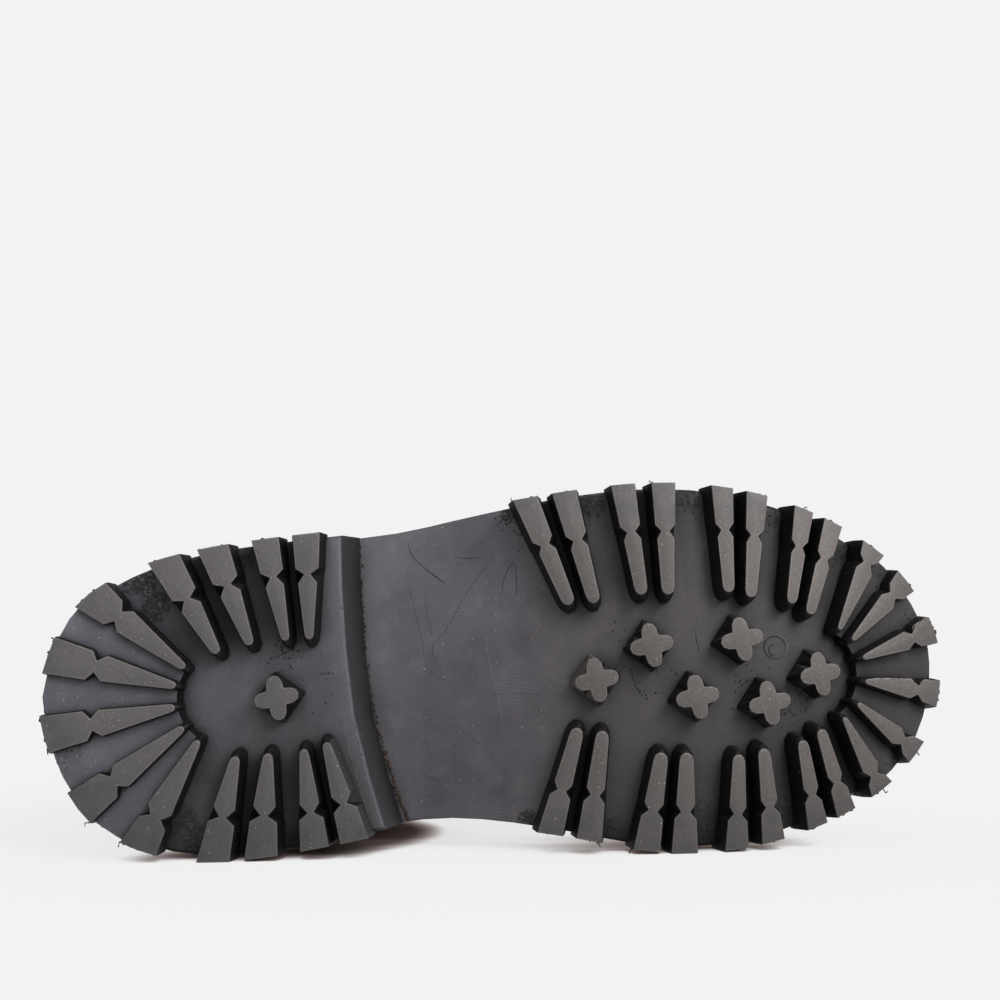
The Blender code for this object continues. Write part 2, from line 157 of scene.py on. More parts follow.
def toLinear(hexColor):
    values = [int(hexColor[i : i + 2], 16) / 255 for i in (1, 3, 5)]
    return (*[v / 12.92 if v <= 0.04045 else ((v + 0.055) / 1.055) ** 2.4 for v in values], 1.0)


def finished(piece, materials):
    for material in materials:
        piece.data.materials.append(material)
    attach(piece, "root")


def setInputs(material, node, inputs):
    # each input takes a number, a hex colour, another node's output, or a node, whose first output is meant
    sockets = [socket for socket in node.inputs if socket.enabled]
    names = {socket.name: socket for socket in reversed(sockets)}
    for name, value in inputs.items():
        socket = sockets[name] if isinstance(name, int) else names[name]
        if isinstance(value, bpy.types.Node):
            value = next(output for output in value.outputs if output.enabled)
        if isinstance(value, bpy.types.NodeSocket):
            material.node_tree.links.new(value, socket)
        else:
            socket.default_value = toLinear(value) if isinstance(value, str) else value


def addNode(material, kind, inputs=None, **settings):
    node = material.node_tree.nodes.new("ShaderNode" + kind)
    for name, value in settings.items():
        setattr(node, name, value)
    setInputs(material, node, inputs or {})
    return node


def newMaterial(name, **constants):
    material = bpy.data.materials.new(name)
    material.use_nodes = True
    shader = material.node_tree.nodes["Principled BSDF"]
    for socket, value in constants.items():
        shader.inputs[socket.replace("_", " ")].default_value = value
    return material, shader


# camera, light and floor
cameraSettings = {
    "place": (140.6, -6.0, -434.0),  # in front of the tread
    "lens": 48.43,
    "up": 7.285,  # degrees by which it looks up, so that the boot lies low in the frame
    "towardsToe": 0.64,
}

camera = bpy.data.objects.new("camera", bpy.data.cameras.new("camera"))
bpy.context.scene.collection.objects.link(camera)
camera.matrix_world = (
    Matrix.Translation(resting(*cameraSettings["place"]))
    @ turn
    @ Matrix.Rotation(-math.radians(cameraSettings["towardsToe"]), 4, "Z")
    @ Matrix.Rotation(math.radians(90 + cameraSettings["up"]), 4, "X")
)
camera.data.lens = cameraSettings["lens"]
camera.data.clip_start = 0.01
bpy.context.scene.camera = camera

studio = {
    "view": "Standard",
    "background": "#F2F2F2",
    "fill": 0.34,  # strength of the white room
    "key": 1.25,  # a broad lamp from the front and the right
    "keyFrom": (0.50, -0.78, 0.42),
    "keyAngle": 26.0,
    "topLamp": 2.1,  # watts of a long soft box over the camera
    "topLampAt": (0.02, -0.55, 0.50),
    "topLampSize": (0.9, 0.3),
    "sideLamp": 1.5,  # watts of a soft box above the toe
    "sideLampAt": (0.34, -0.46, 0.40),
    "sideLampSize": 0.25,
    "floorColor": "#8A8A8A",
    "floorGlow": 0.763,  # a floor of lit white acrylic, which keeps the shadows thin
    "shadowReach": 0.022,  # painted shadow: the lit floor's glow is dimmed by occlusion under the boot up to this far, in metres
    "shadowOpenness": (0.0, 0.30),
    "paintedHeelShadow": (-0.056, -0.065, 0.6),  # a painted shadow pool where the counter comes down to the floor, width by length
    "paintedHeelShadowEnds": (0.024, 0.036),  # the painted pool's deep middle and its end
    "heelOpenness": (0.24, 0.72),
    "paintedShadowTint": "#8E5C46",  # painted reflection: a warm tint in the painted shadow, standing in for light thrown back by the brown leather
}

bpy.context.scene.view_settings.view_transform = studio["view"]
world = bpy.data.worlds.new("studio")
world.use_nodes = True
bpy.context.scene.world = world
background = world.node_tree.nodes["Background"]
setInputs(world, background, {"Color": "#FFFFFF", "Strength": studio["fill"]})
seen = addNode(world, "Background", {"Color": studio["background"]})
rays = addNode(world, "LightPath")
either = addNode(world, "MixShader", {0: rays.outputs["Is Camera Ray"], 1: background, 2: seen})
setInputs(world, world.node_tree.nodes["World Output"], {"Surface": either})


def addLamp(name, kind, place, energy):
    lamp = bpy.data.objects.new(name, bpy.data.lights.new(name, kind))
    bpy.context.scene.collection.objects.link(lamp)
    lamp.data.energy = energy
    lamp.location = place
    lamp.rotation_mode = "QUATERNION"
    lamp.rotation_quaternion = Vector(place).to_track_quat("Z", "Y")
    return lamp


keyLight = addLamp("keyLight", "SUN", studio["keyFrom"], studio["key"])
keyLight.data.angle = math.radians(studio["keyAngle"])
topLamp = addLamp("topLamp", "AREA", studio["topLampAt"], studio["topLamp"])
topLamp.data.shape = "RECTANGLE"
topLamp.data.size, topLamp.data.size_y = studio["topLampSize"]
sideLamp = addLamp("sideLamp", "AREA", studio["sideLampAt"], studio["sideLamp"])
sideLamp.data.shape = "DISK"
sideLamp.data.size = studio["sideLampSize"]
# the two soft boxes are flagged off the floor, so that it stays evenly white
litPieces = bpy.data.collections.new("litPieces")
for lamp in (topLamp, sideLamp):
    lamp.light_linking.receiver_collection = litPieces

# White acrylic sheet, matt: it shows no reflection. Its thin soft shadow is partly real and partly painted:
# the glow is dimmed where occlusion finds the boot near, and more in a painted pool by the heel's corner,
# tinted brown
floorMaterial, shader = newMaterial(
    "whiteAcrylicFloor",
    Roughness=1.0,
    Specular_IOR_Level=0.0,
    Base_Color=toLinear(studio["floorColor"]),
)
underBoot = addNode(floorMaterial, "AmbientOcclusion", {"Distance": studio["shadowReach"]}, samples=20)
x, y, slim = studio["paintedHeelShadow"]
whole, gone = studio["paintedHeelShadowEnds"]
where = addNode(floorMaterial, "TexCoord").outputs["Object"]
fromHeel = addNode(
    floorMaterial, "Mapping", {"Vector": where, "Location": (-x, -y * slim, 0), "Scale": (1, slim, 1)}
)
fromHeel = addNode(floorMaterial, "VectorMath", {0: fromHeel}, operation="LENGTH")
# painted shadow: the share of the floor's glow that occlusion and the pool at the heel leave
lit = addNode(floorMaterial, "MapRange", {"Value": underBoot.outputs["AO"]})
ends = zip(("From Min", "From Max"), studio["heelOpenness"], studio["shadowOpenness"])
for end, atHeel, elsewhere in ends:
    limit = {"Value": fromHeel, "From Min": whole, "From Max": gone, "To Min": atHeel, "To Max": elsewhere}
    setInputs(floorMaterial, lit, {end: addNode(floorMaterial, "MapRange", limit)})
glow = addNode(floorMaterial, "Math", {0: lit, 1: studio["floorGlow"]}, operation="MULTIPLY")
tint = {"Factor": lit, "A": studio["paintedShadowTint"], "B": "#FFFFFF"}
glowColor = addNode(floorMaterial, "Mix", tint, data_type="RGBA")
setInputs(floorMaterial, shader, {"Emission Strength": glow, "Emission Color": glowColor})
deselectAll()
bpy.ops.mesh.primitive_plane_add(size=60)
floor = bpy.context.active_object
floor.name = "floor"
floor.data.materials.append(floorMaterial)
print("camera, light and floor are set")

# Rubber sole. It is one black rubber compound, pressed in a steel mould. The field between the lugs keeps
# a grey bloom, the walls stay black, deepened by painted shade, the tread is scuffed pale and its edges
# palest, and the sides are dusty.
rubber = {
    "field": ("#3A383D", "#4B494F"),  # darker and lighter cloud of the bloom
    "cloud": 34.0,  # size of the bloom's clouds
    "stains": (  # size, roughness, spread from and to, offset, strength and tone
        (9.0, 0.7, 0.50, 0.80, 31.0, 0.45, "#5F5C5F"),
        (13.0, 0.65, 0.50, 0.78, 54.0, 0.45, "#28262A"),
    ),
    "hatch": 1.1,  # pitch of the fine lines that the cutter left in the mould
    "hatchTone": "#6E6B70",
    "hatchShare": 0.15,
    "pockEvery": 2.9,  # small dark pocks of the bloom
    "pockSize": 0.2,
    "pockShare": 0.22,
    "pockTone": "#0D0C0D",
    "paintedLugShade": (12.0, 0.28, 0.80),  # reach of the painted shade along a lug's foot, and its openness from and to
    "paintedLugShadeTone": "#010101",
    "paintedFieldLightAndShade": (  # painted light and shade: darker low inner side, lighter heel fan and waist, darker forefoot: axis, from full to none, how strong
        ("Z", 18.0, 78.0, 0.70),
        ("X", -125.0, -88.0, 1.56),
        ("X", -44.0, -60.0, 1.22),
        ("X", 24.0, -6.0, 0.67),
        ("X", 50.0, 28.0, 0.72),
    ),
    "fieldTints": ((-110.0, -80.0, "#F6FAFF"), (50.0, -10.0, "#FFF3F0")),  # bluish heel, warmer forefoot
    "grimeTone": "#0D0B0A",
    "grime": (  # station, across and reach of the dirt that has packed between the lugs
        (27, -35, 7),
        (33, -27, 6),
        (62, -45, 6),
        (43, 42, 7),
        (49, 48, 7),
        (77, 50, 5),
        (176, -61, 5.5),
        (208, -63, 5),
        (237, -59, 6),
        (262, -46, 6),
        (263, -37, 5),
        (276, -38, 5),
        (279, 25, 5.5),
        (211, 41, 6.5),
        (213, 48, 6),
        (240, 41, 5.5),
        (181, 45, 5),
        (155, 42, 4.5),
        (149, -59, 4.5),
    ),
    # near-black walls: unscuffed rubber and painted shade together
    "wall": ("#0C0B0D", "#1E1D20"),
    "wallStreak": 2.2,
    "treads": (  # name, tone at the heel and at the toe, how chalky
        ("scuffedBlackRubber", "#454349", "#494342", 0.5),
        ("scuffedRubberEdge", "#625D5A", "#625D5A", 0.8),
        ("wornRubberRidge", "#4E4843", "#4E4843", 0.8),
    ),
    "treadCloud": (11.0, "#37363B"),
    "smudge": (6.0, "#34353C", 40.0, 50.0),  # size, tone, and how far from the middle it begins and is full
    "chalk": (0.8, "#8A7F72", 42.0, 28.0),  # the same for the pale scuffs
    "studTone": (19.0, 23.0, 0.90),  # the studs by the middle line are a little darker than the lugs
    "waistTone": (-10.0, 45.0, 85.0, 0.84),  # so are the lugs' tips by the waist: x, from full to none, tone
    "tips": (44.0, 36.0),
    "paintedLowSideShade": (8.0, 48.0, 0.70),  # painted shade, darker on the low inner side: heights over the floor, darkest tone
    "paintedToeHighlight": (104.0, 98.0, 46.0, 1.36),  # painted highlight, a pool of light on the toe's lugs: x and z of its middle, its reach, lightest tone
    "side": ("#252427", "#2F2E30"),
    "sideCloud": 14.0,
    # painted shade at the sides' foot, by occlusion: reach, openness from and to, and its tone
    "paintedSideShade": (16.0, 0.30, 0.92),
    "paintedSideShadeTone": "#050405",
    "paintedBreastShade": (-112.0, -127.0, 0.35),  # painted shade on the breast: from its foot to its ridge, darkest tone
    # fine pressed grain: size, roughness, dark and pale tone, share. It is drawn coarser than its 0.1 mm
    # so that it shows.
    "fieldGrain": (0.45, 0.7, "#2C2B2E", "#545258", 0.35),
    "treadGrain": (0.5, 0.75, "#2E2C2E", "#777068", 0.34),
    "sideGrain": (0.45, 0.7, "#1B1A1C", "#454346", 0.25),
    "dust": ("#948B82", "#8F6044"),  # pale and rusty specks
    "speckEvery": 1.6,
    "speckSize": 0.12,
    "level": 0.9,  # a face looks straight at the ground from this cosine on
    "treadDepth": 1.0,  # a tread face lies less than this over the tread's height, a field face more than:
    "fieldDepth": 1.8,
    "forward": 0.75,  # a breast face looks this much towards the toe
    "breastBox": (90, 125, 24),  # its stations and its largest height
    "ridgeBox": (86, 125, 12),  # the same for the ridge between breast and seat
    "breastBevel": 1.1,
    "topBevel": 0.36,
    "smoothAngle": 32,
    "tornStud": (176.5, -3.5, 8.0),  # station, across and reach of the stud whose walls are smeared grey
}


def pieceMaterial(name, **constants):
    # a material that reads the piece's own coordinates, in millimetres
    material, shader = newMaterial(name, IOR=1.5, **constants)
    coordinates = addNode(material, "TexCoord").outputs["Object"]
    where = addNode(material, "Mapping", {"Vector": coordinates, "Scale": (1 / mm, 1 / mm, 1 / mm)})
    return material, shader, where


def noisePattern(material, where, size, detail=5.0, roughness=0.5, low=0.3, high=0.7, offset=0.0):
    # soft pattern of the given size in mm, spread from 0 to 1
    shifted = addNode(material, "VectorMath", {0: where, 1: (offset, offset * 0.7, -offset)}, operation="ADD")
    look = {"Vector": shifted, "Scale": 1 / size, "Detail": detail, "Roughness": roughness}
    texture = addNode(material, "TexNoise", look)
    return addNode(material, "MapRange", {"Value": texture, "From Min": low, "From Max": high})


def cloudy(material, where, tones, size, **spread):
    # two tones that run into each other in clouds
    clouds = noisePattern(material, where, size, **spread)
    color = addNode(material, "Mix", {"Factor": clouds, "A": tones[0], "B": tones[1]}, data_type="RGBA")
    return clouds, color


def grained(material, where, color, grain, detail=3.0, contrast=0.3):
    # a fine grain laid thinly over a colour, which is the relief's height as well
    size, roughness, darkTone, paleTone, share = grain
    spread = {"detail": detail, "roughness": roughness, "low": 0.5 - contrast, "high": 0.5 + contrast}
    fine, grit = cloudy(material, where, (darkTone, paleTone), size, **spread)
    return fine, addNode(material, "Mix", {"Factor": share, "A": color, "B": grit}, data_type="RGBA")


def laidOver(material, color, tone, mask, strength):
    # a tone laid over a colour where the mask shows, at part of its strength
    amount = addNode(material, "Math", {0: mask, 1: strength}, operation="MULTIPLY")
    return addNode(material, "Mix", {"Factor": amount, "A": color, "B": tone}, data_type="RGBA")


def toned(material, tone, value, full, gone, strongest):
    # times a tone that runs from its strongest to none while the value goes from one limit to the other
    limits = {"Value": value, "From Min": full, "From Max": gone, "To Min": strongest}
    step = addNode(material, "MapRange", limits)
    return addNode(material, "Math", {0: tone, 1: step}, operation="MULTIPLY")


def specks(material, where, every, size, share, offset=0.0):
    # scattered grains: a small disk in some of the cells
    shifted = addNode(material, "VectorMath", {0: where, 1: (offset, -offset, offset)}, operation="ADD")
    cells = addNode(material, "TexVoronoi", {"Vector": shifted, "Scale": 1 / every})
    tone = addNode(material, "SeparateColor", {"Color": cells.outputs["Color"]})
    largest = size / every * 1.6
    reach = addNode(material, "Math", {0: tone.outputs["Green"], 1: largest}, operation="MULTIPLY")
    inside = addNode(material, "Math", {0: cells.outputs["Distance"], 1: reach}, operation="LESS_THAN")
    chosen = addNode(material, "Math", {0: tone.outputs["Red"], 1: share}, operation="LESS_THAN")
    return addNode(material, "Math", {0: inside, 1: chosen}, operation="MULTIPLY")


def addDust(material, where, color, shares, offset=0.0):
    for tone, share, shift in zip(rubber["dust"], shares, (0.0, 7.3)):
        mask = specks(material, where, rubber["speckEvery"], rubber["speckSize"], share, offset + shift)
        color = addNode(material, "Mix", {"Factor": mask, "A": color, "B": tone}, data_type="RGBA")
    return color


def openness(material, distance, low, high):
    # 1 in the open and 0 in a narrow gap or a corner
    node = addNode(material, "AmbientOcclusion", {"Distance": distance * mm}, samples=8)
    return addNode(material, "MapRange", {"Value": node.outputs["AO"], "From Min": low, "From Max": high})


def nearPlaces(material, where, places):
    # 1 near any of the places, each given as station, across and reach
    nearest = 0.0
    flat = addNode(material, "VectorMath", {0: where, 1: (1, 0, 1)}, operation="MULTIPLY")
    for station, across, reach in places:
        spot = resting(station, across, 0) / mm
        away = addNode(material, "VectorMath", {0: flat, 1: (spot.x, 0, spot.z)}, operation="DISTANCE")
        near = addNode(material, "MapRange", {"Value": away, "From Min": reach, "From Max": reach * 0.3})
        nearest = addNode(material, "Math", {0: near, 1: nearest}, operation="MAXIMUM")
    return nearest


def fromMiddle(material, place):
    # how far a place lies from the sole's middle line: the bars' tips are near it, their ends far
    start, end, middle = boot["middle"]
    centre = (start + end) / 2 + bootOrigin.x / mm
    aside = addNode(material, "Math", {0: place.outputs["X"], 1: centre}, operation="SUBTRACT")
    aside = addNode(material, "Math", {0: aside}, operation="ABSOLUTE")
    beyond = addNode(material, "Math", {0: aside, 1: (end - start) / 2}, operation="SUBTRACT")
    beyond = addNode(material, "Math", {0: beyond, 1: 0.0}, operation="MAXIMUM")
    centre = bootOrigin.z / mm - middle
    across = addNode(material, "Math", {0: place.outputs["Z"], 1: centre}, operation="SUBTRACT")
    flat = addNode(material, "CombineXYZ", {"X": beyond, "Y": across})
    return addNode(material, "VectorMath", {0: flat}, operation="LENGTH")


def surfaced(material, shader, color, rough, relief, depth, strength):
    # colour, roughness and a fine relief of the given depth in mm
    bump = addNode(material, "Bump", {"Height": relief, "Distance": depth * mm, "Strength": strength})
    setInputs(material, shader, {"Base Color": color, "Roughness": rough, "Normal": bump})
    return material


def fieldRubber():
    # Field between the lugs: satin moulded rubber with a grey-violet bloom and pale specks. Painted shade
    # darkens it along every lug's foot, and painted light and shade lie over it by place
    material, shader, where = pieceMaterial("bloomedBlackRubber", Specular_IOR_Level=0.42)
    clouds, color = cloudy(material, where, rubber["field"], rubber["cloud"], detail=4.0)
    fine, color = grained(material, where, color, rubber["fieldGrain"])
    for size, roughness, low, high, offset, strength, tone in rubber["stains"]:
        stain = noisePattern(material, where, size, 5.0, roughness, low, high, offset)
        color = laidOver(material, color, tone, stain, strength)
    # the cutter's rings show in some spots; the texture has 20 radians to one unit
    rings = {"Scale": 2 * math.pi / 20 / rubber["hatch"], "Distortion": 1.5, "Detail": 1.0, "Vector": where}
    waves = addNode(material, "TexWave", rings, wave_type="RINGS", rings_direction="Y")
    spots = noisePattern(material, where, 26.0, detail=1.0, low=0.52, high=0.66, offset=77.0)
    hatch = addNode(material, "Math", {0: waves.outputs["Fac"], 1: spots}, operation="MULTIPLY")
    color = laidOver(material, color, rubber["hatchTone"], hatch, rubber["hatchShare"])
    # packed dirt: smeared on the whole, ragged at its edge
    grime = nearPlaces(material, where, rubber["grime"])
    smeared = noisePattern(material, where, 7.0, detail=4.0, roughness=0.6, low=0.34, high=0.54, offset=45.0)
    ragged = noisePattern(material, where, 1.1, roughness=0.85, low=0.44, high=0.54, offset=90.0)
    grime = addNode(material, "Math", {0: grime, 1: smeared}, operation="MULTIPLY")
    grime = addNode(material, "Math", {0: grime, 1: ragged}, operation="MULTIPLY")
    packed = addNode(material, "MapRange", {"Value": grime, "From Min": 0.05, "From Max": 0.22})
    pocks = specks(material, where, rubber["pockEvery"], rubber["pockSize"], rubber["pockShare"], 63.0)
    for mask, tone in ((packed, rubber["grimeTone"]), (pocks, rubber["pockTone"])):
        color = addNode(material, "Mix", {"Factor": mask, "A": color, "B": tone}, data_type="RGBA")
    color = addDust(material, where, color, (0.30, 0.10))
    place = addNode(material, "SeparateXYZ", {"Vector": where})
    # painted light and shade over the field by its place
    tone = 1.0
    for axis, full, gone, strongest in rubber["paintedFieldLightAndShade"]:
        tone = toned(material, tone, place.outputs[axis], full, gone, strongest)
    layers = [(1.0, tone)]
    for full, gone, tint in rubber["fieldTints"]:
        limits = {"Value": place.outputs["X"], "From Min": gone, "From Max": full}
        layers.append((addNode(material, "MapRange", limits), tint))
    for share, tint in layers:
        inputs = {"Factor": share, "A": color, "B": tint}
        color = addNode(material, "Mix", inputs, data_type="RGBA", blend_type="MULTIPLY")
    # painted shade: the field turns near black where occlusion finds a lug's foot close
    inTheOpen = openness(material, *rubber["paintedLugShade"])
    inTheOpen = addNode(material, "Math", {0: inTheOpen, 1: 1.5}, operation="POWER")
    foot = {"Factor": inTheOpen, "A": rubber["paintedLugShadeTone"], "B": color}
    color = addNode(material, "Mix", foot, data_type="RGBA")
    rough = addNode(material, "Math", {0: clouds, 1: 0.12, 2: 0.42}, operation="MULTIPLY_ADD")
    hidden = addNode(material, "Math", {0: 1.0, 1: inTheOpen}, operation="SUBTRACT")
    rough = addNode(material, "Math", {0: rough, 1: hidden}, operation="MAXIMUM")
    relief = addNode(material, "Math", {0: hatch, 1: 0.6, 2: fine}, operation="MULTIPLY_ADD")
    return surfaced(material, shader, color, rough, relief, 0.03, 0.6)


def wallRubberWithPaintedShade():
    # Walls of the lugs: unscuffed rubber, hardly glossy; its deep black is partly the compound as it left the
    # mould and partly painted shade
    material, shader, where = pieceMaterial("unscuffedBlackRubberWithPaintedShade", Specular_IOR_Level=0.20)
    spread = {"detail": 4.0, "roughness": 0.7, "low": 0.5, "high": 0.9}
    streaks, color = cloudy(material, where, rubber["wall"], rubber["wallStreak"], **spread)
    color = addDust(material, where, color, (0.05, 0.03), 2.0)
    rough = addNode(material, "MapRange", {"Value": streaks, "To Min": 0.5, "To Max": 0.7})
    setInputs(material, shader, {"Base Color": color, "Roughness": rough})
    return material


def treadRubber(name, heelTone, toeTone, lift):
    # Tread: matt scuffed rubber, warmer and paler towards the toe, with fine grit, smudges at the bars' ends
    # and chalky scuffs at their tips. A painted highlight lies on the toe's lugs, and painted shade darkens
    # the low inner side
    material, shader, where = pieceMaterial(name, Specular_IOR_Level=0.40)
    place = addNode(material, "SeparateXYZ", {"Vector": where})
    along = addNode(material, "MapRange", {"Value": place.outputs["X"], "From Min": -60.0, "From Max": 60.0})
    color = addNode(material, "Mix", {"Factor": along, "A": heelTone, "B": toeTone}, data_type="RGBA")
    size, tone = rubber["treadCloud"]
    clouds = noisePattern(material, where, size, roughness=0.6, high=0.75)
    color = laidOver(material, color, tone, clouds, 0.5)
    fine, color = grained(material, where, color, rubber["treadGrain"])
    far = fromMiddle(material, place)
    size, tone, begins, full = rubber["smudge"]
    smudges = noisePattern(material, where, size, roughness=0.6, low=0.36, high=0.62, offset=21.0)
    ends = addNode(material, "MapRange", {"Value": far, "From Min": begins, "From Max": full})
    smudges = addNode(material, "Math", {0: smudges, 1: ends}, operation="MULTIPLY")
    color = laidOver(material, color, tone, smudges, 0.5)
    size, tone, begins, full = rubber["chalk"]
    tips = addNode(material, "MapRange", {"Value": far, "From Min": begins, "From Max": full})
    chalk = noisePattern(material, where, size, detail=4.0, roughness=0.75, low=0.53, high=0.72, offset=12.0)
    for value, share, least in ((tips, 0.3, 0.5), (along, 0.6, 0.4)):
        more = addNode(material, "Math", {0: value, 1: share, 2: least}, operation="MULTIPLY_ADD")
        chalk = addNode(material, "Math", {0: chalk, 1: more}, operation="MULTIPLY")
    color = laidOver(material, color, tone, chalk, lift)
    # painted highlight on the toe's lugs, then painted shade on the low inner side
    x, z, reach, palest = rubber["paintedToeHighlight"]
    flat = addNode(material, "VectorMath", {0: where, 1: (1, 0, 1)}, operation="MULTIPLY")
    away = addNode(material, "VectorMath", {0: flat, 1: (x, 0, z)}, operation="DISTANCE")
    tone = toned(material, 1.0, away, 0.0, reach, palest)
    tone = toned(material, tone, place.outputs["Z"], *rubber["paintedLowSideShade"])
    tone = toned(material, tone, far, *rubber["studTone"])
    waist, full, gone, darkest = rubber["waistTone"]
    away = addNode(material, "Math", {0: place.outputs["X"], 1: waist}, operation="SUBTRACT")
    away = addNode(material, "Math", {0: away}, operation="ABSOLUTE")
    clean = toned(material, 1.0, away, full, gone, darkest)
    begins, full = rubber["tips"]
    tips = addNode(material, "MapRange", {"Value": far, "From Min": begins, "From Max": full})
    clean = addNode(material, "Mix", {"Factor": tips, "A": 1.0, "B": clean})
    tone = addNode(material, "Math", {0: tone, 1: clean}, operation="MULTIPLY")
    inputs = {"Factor": 1.0, "A": color, "B": tone}
    color = addNode(material, "Mix", inputs, data_type="RGBA", blend_type="MULTIPLY")
    color = addDust(material, where, color, (0.34, 0.12), 5.0)
    rough = addNode(material, "MapRange", {"Value": clouds, "To Min": 0.62, "To Max": 0.5})
    return surfaced(material, shader, color, rough, fine, 0.04, 0.7)


def sideRubber(name, breast):
    # Side of the sole: satin black rubber with a thin film of dust, darkened by painted shade towards its
    # foot.
    # The heel's breast is rubbed pale near its ridge, and painted shade makes it black near its foot.
    material, shader, where = pieceMaterial(name, Specular_IOR_Level=0.4)
    clouds, color = cloudy(material, where, rubber["side"], rubber["sideCloud"], high=0.75)
    fine, color = grained(material, where, color, rubber["sideGrain"])
    color = addDust(material, where, color, (0.12, 0.06), 9.0)
    if breast:
        # painted shade, darker towards the breast's foot
        place = addNode(material, "SeparateXYZ", {"Vector": where})
        tone = toned(material, 1.0, place.outputs["Y"], *rubber["paintedBreastShade"])
        inputs = {"Factor": 1.0, "A": color, "B": tone}
        color = addNode(material, "Mix", inputs, data_type="RGBA", blend_type="MULTIPLY")
    # painted shade: near black where occlusion finds the side's foot close
    foot = {"Factor": openness(material, *rubber["paintedSideShade"]), "A": rubber["paintedSideShadeTone"], "B": color}
    color = addNode(material, "Mix", foot, data_type="RGBA")
    rough = addNode(material, "MapRange", {"Value": clouds, "To Min": 0.42, "To Max": 0.58})
    return surfaced(material, shader, color, rough, fine, 0.03, 0.5)


tread, edge, ridge = (treadRubber(*settings) for settings in rubber["treads"])
rubberMaterials = {
    "field": fieldRubber(),
    "wall": wallRubberWithPaintedShade(),
    "tread": tread,
    "edge": edge,
    "side": sideRubber("dustyBlackRubber", False),
    "worn": ridge,
    "breast": sideRubber("breastRubberWithPaintedShade", True),
}
slots = {name: index for index, name in enumerate(rubberMaterials)}


def rubberSlot(place, normal):
    facing = normal.dot(towardsGround(place))
    height = heightOverTread(place)
    x, y, reach = rubber["tornStud"]
    if math.hypot(place.x - x, place.y - y) < reach and facing < rubber["level"]:
        if normal.x + 0.5 * normal.y < -0.1:
            return slots["worn"]
    if facing > rubber["level"] and height < rubber["treadDepth"]:
        return slots["tread"]
    if facing > 0.6 and height > rubber["fieldDepth"]:
        return slots["field"]
    start, end, highest = rubber["breastBox"]
    if normal.x > rubber["forward"] and start < place.x < end and height < highest:
        return slots["breast"]
    if normal.dot(outwards(place)) > 0.6 or height > boot["seatHeight"] + 0.5 or facing < -0.5:
        return slots["side"]
    return slots["wall"]


def bevelled(item, isWanted, width, **settings):
    # a bevel along the convex edges that are wanted by their middle and the normals beside them
    bpy.ops.mesh.select_all(action="DESELECT")
    mesh = bmesh.from_edit_mesh(item.data)
    for edge in mesh.edges:
        if len(edge.link_faces) == 2 and edge.is_convex:
            middle = toBoot @ ((edge.verts[0].co + edge.verts[1].co) / 2)
            if isWanted(middle, [turnToBoot @ face.normal for face in edge.link_faces]):
                edge.select_set(True)
    bmesh.update_edit_mesh(item.data)
    bpy.ops.mesh.bevel(offset=width * mm, clamp_overlap=False, **settings)


def isRidge(middle, normals):
    # the ridge between the heel's seat and its breast, which is rubbed round
    start, end, highest = rubber["ridgeBox"]
    if not (start < middle.x < end and rubber["fieldDepth"] < heightOverTread(middle) < highest):
        return False
    facing = max(normal.dot(towardsGround(middle)) for normal in normals)
    return facing > rubber["level"] and max(normal.x for normal in normals) > rubber["forward"]


def isTopOutline(middle, normals):
    # the outline of every lug and stud, which gets a small worn bevel
    facings = [normal.dot(towardsGround(middle)) for normal in normals]
    return heightOverTread(middle) < rubber["treadDepth"] and max(facings) > 0.97 and min(facings) < 0.93


def moulded(node, name):
    piece = copyOfNode(node, name)
    for material in rubberMaterials.values():
        piece.data.materials.append(material)
    editAll(piece)
    bpy.ops.mesh.dissolve_limited(angle_limit=math.radians(0.5))
    bpy.ops.mesh.select_mode(type="EDGE")
    bevelled(piece, isRidge, rubber["breastBevel"], segments=3, material=slots["worn"])
    bevelled(piece, isTopOutline, rubber["topBevel"], segments=2, profile=0.6, material=slots["edge"])
    mesh = bmesh.from_edit_mesh(piece.data)
    for face in mesh.faces:
        if face.material_index != slots["edge"]:
            face.material_index = rubberSlot(toBoot @ face.calc_center_median(), turnToBoot @ face.normal)
    bmesh.update_edit_mesh(piece.data)
    bpy.ops.object.mode_set(mode="OBJECT")
    bpy.ops.object.shade_smooth_by_angle(angle=math.radians(rubber["smoothAngle"]))
    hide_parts(node)
    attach(piece, "root")
    return piece


outsole = moulded("outsole", "outsoleRubber")
heel = moulded("heel", "heelRubber")
print("rubber is done")

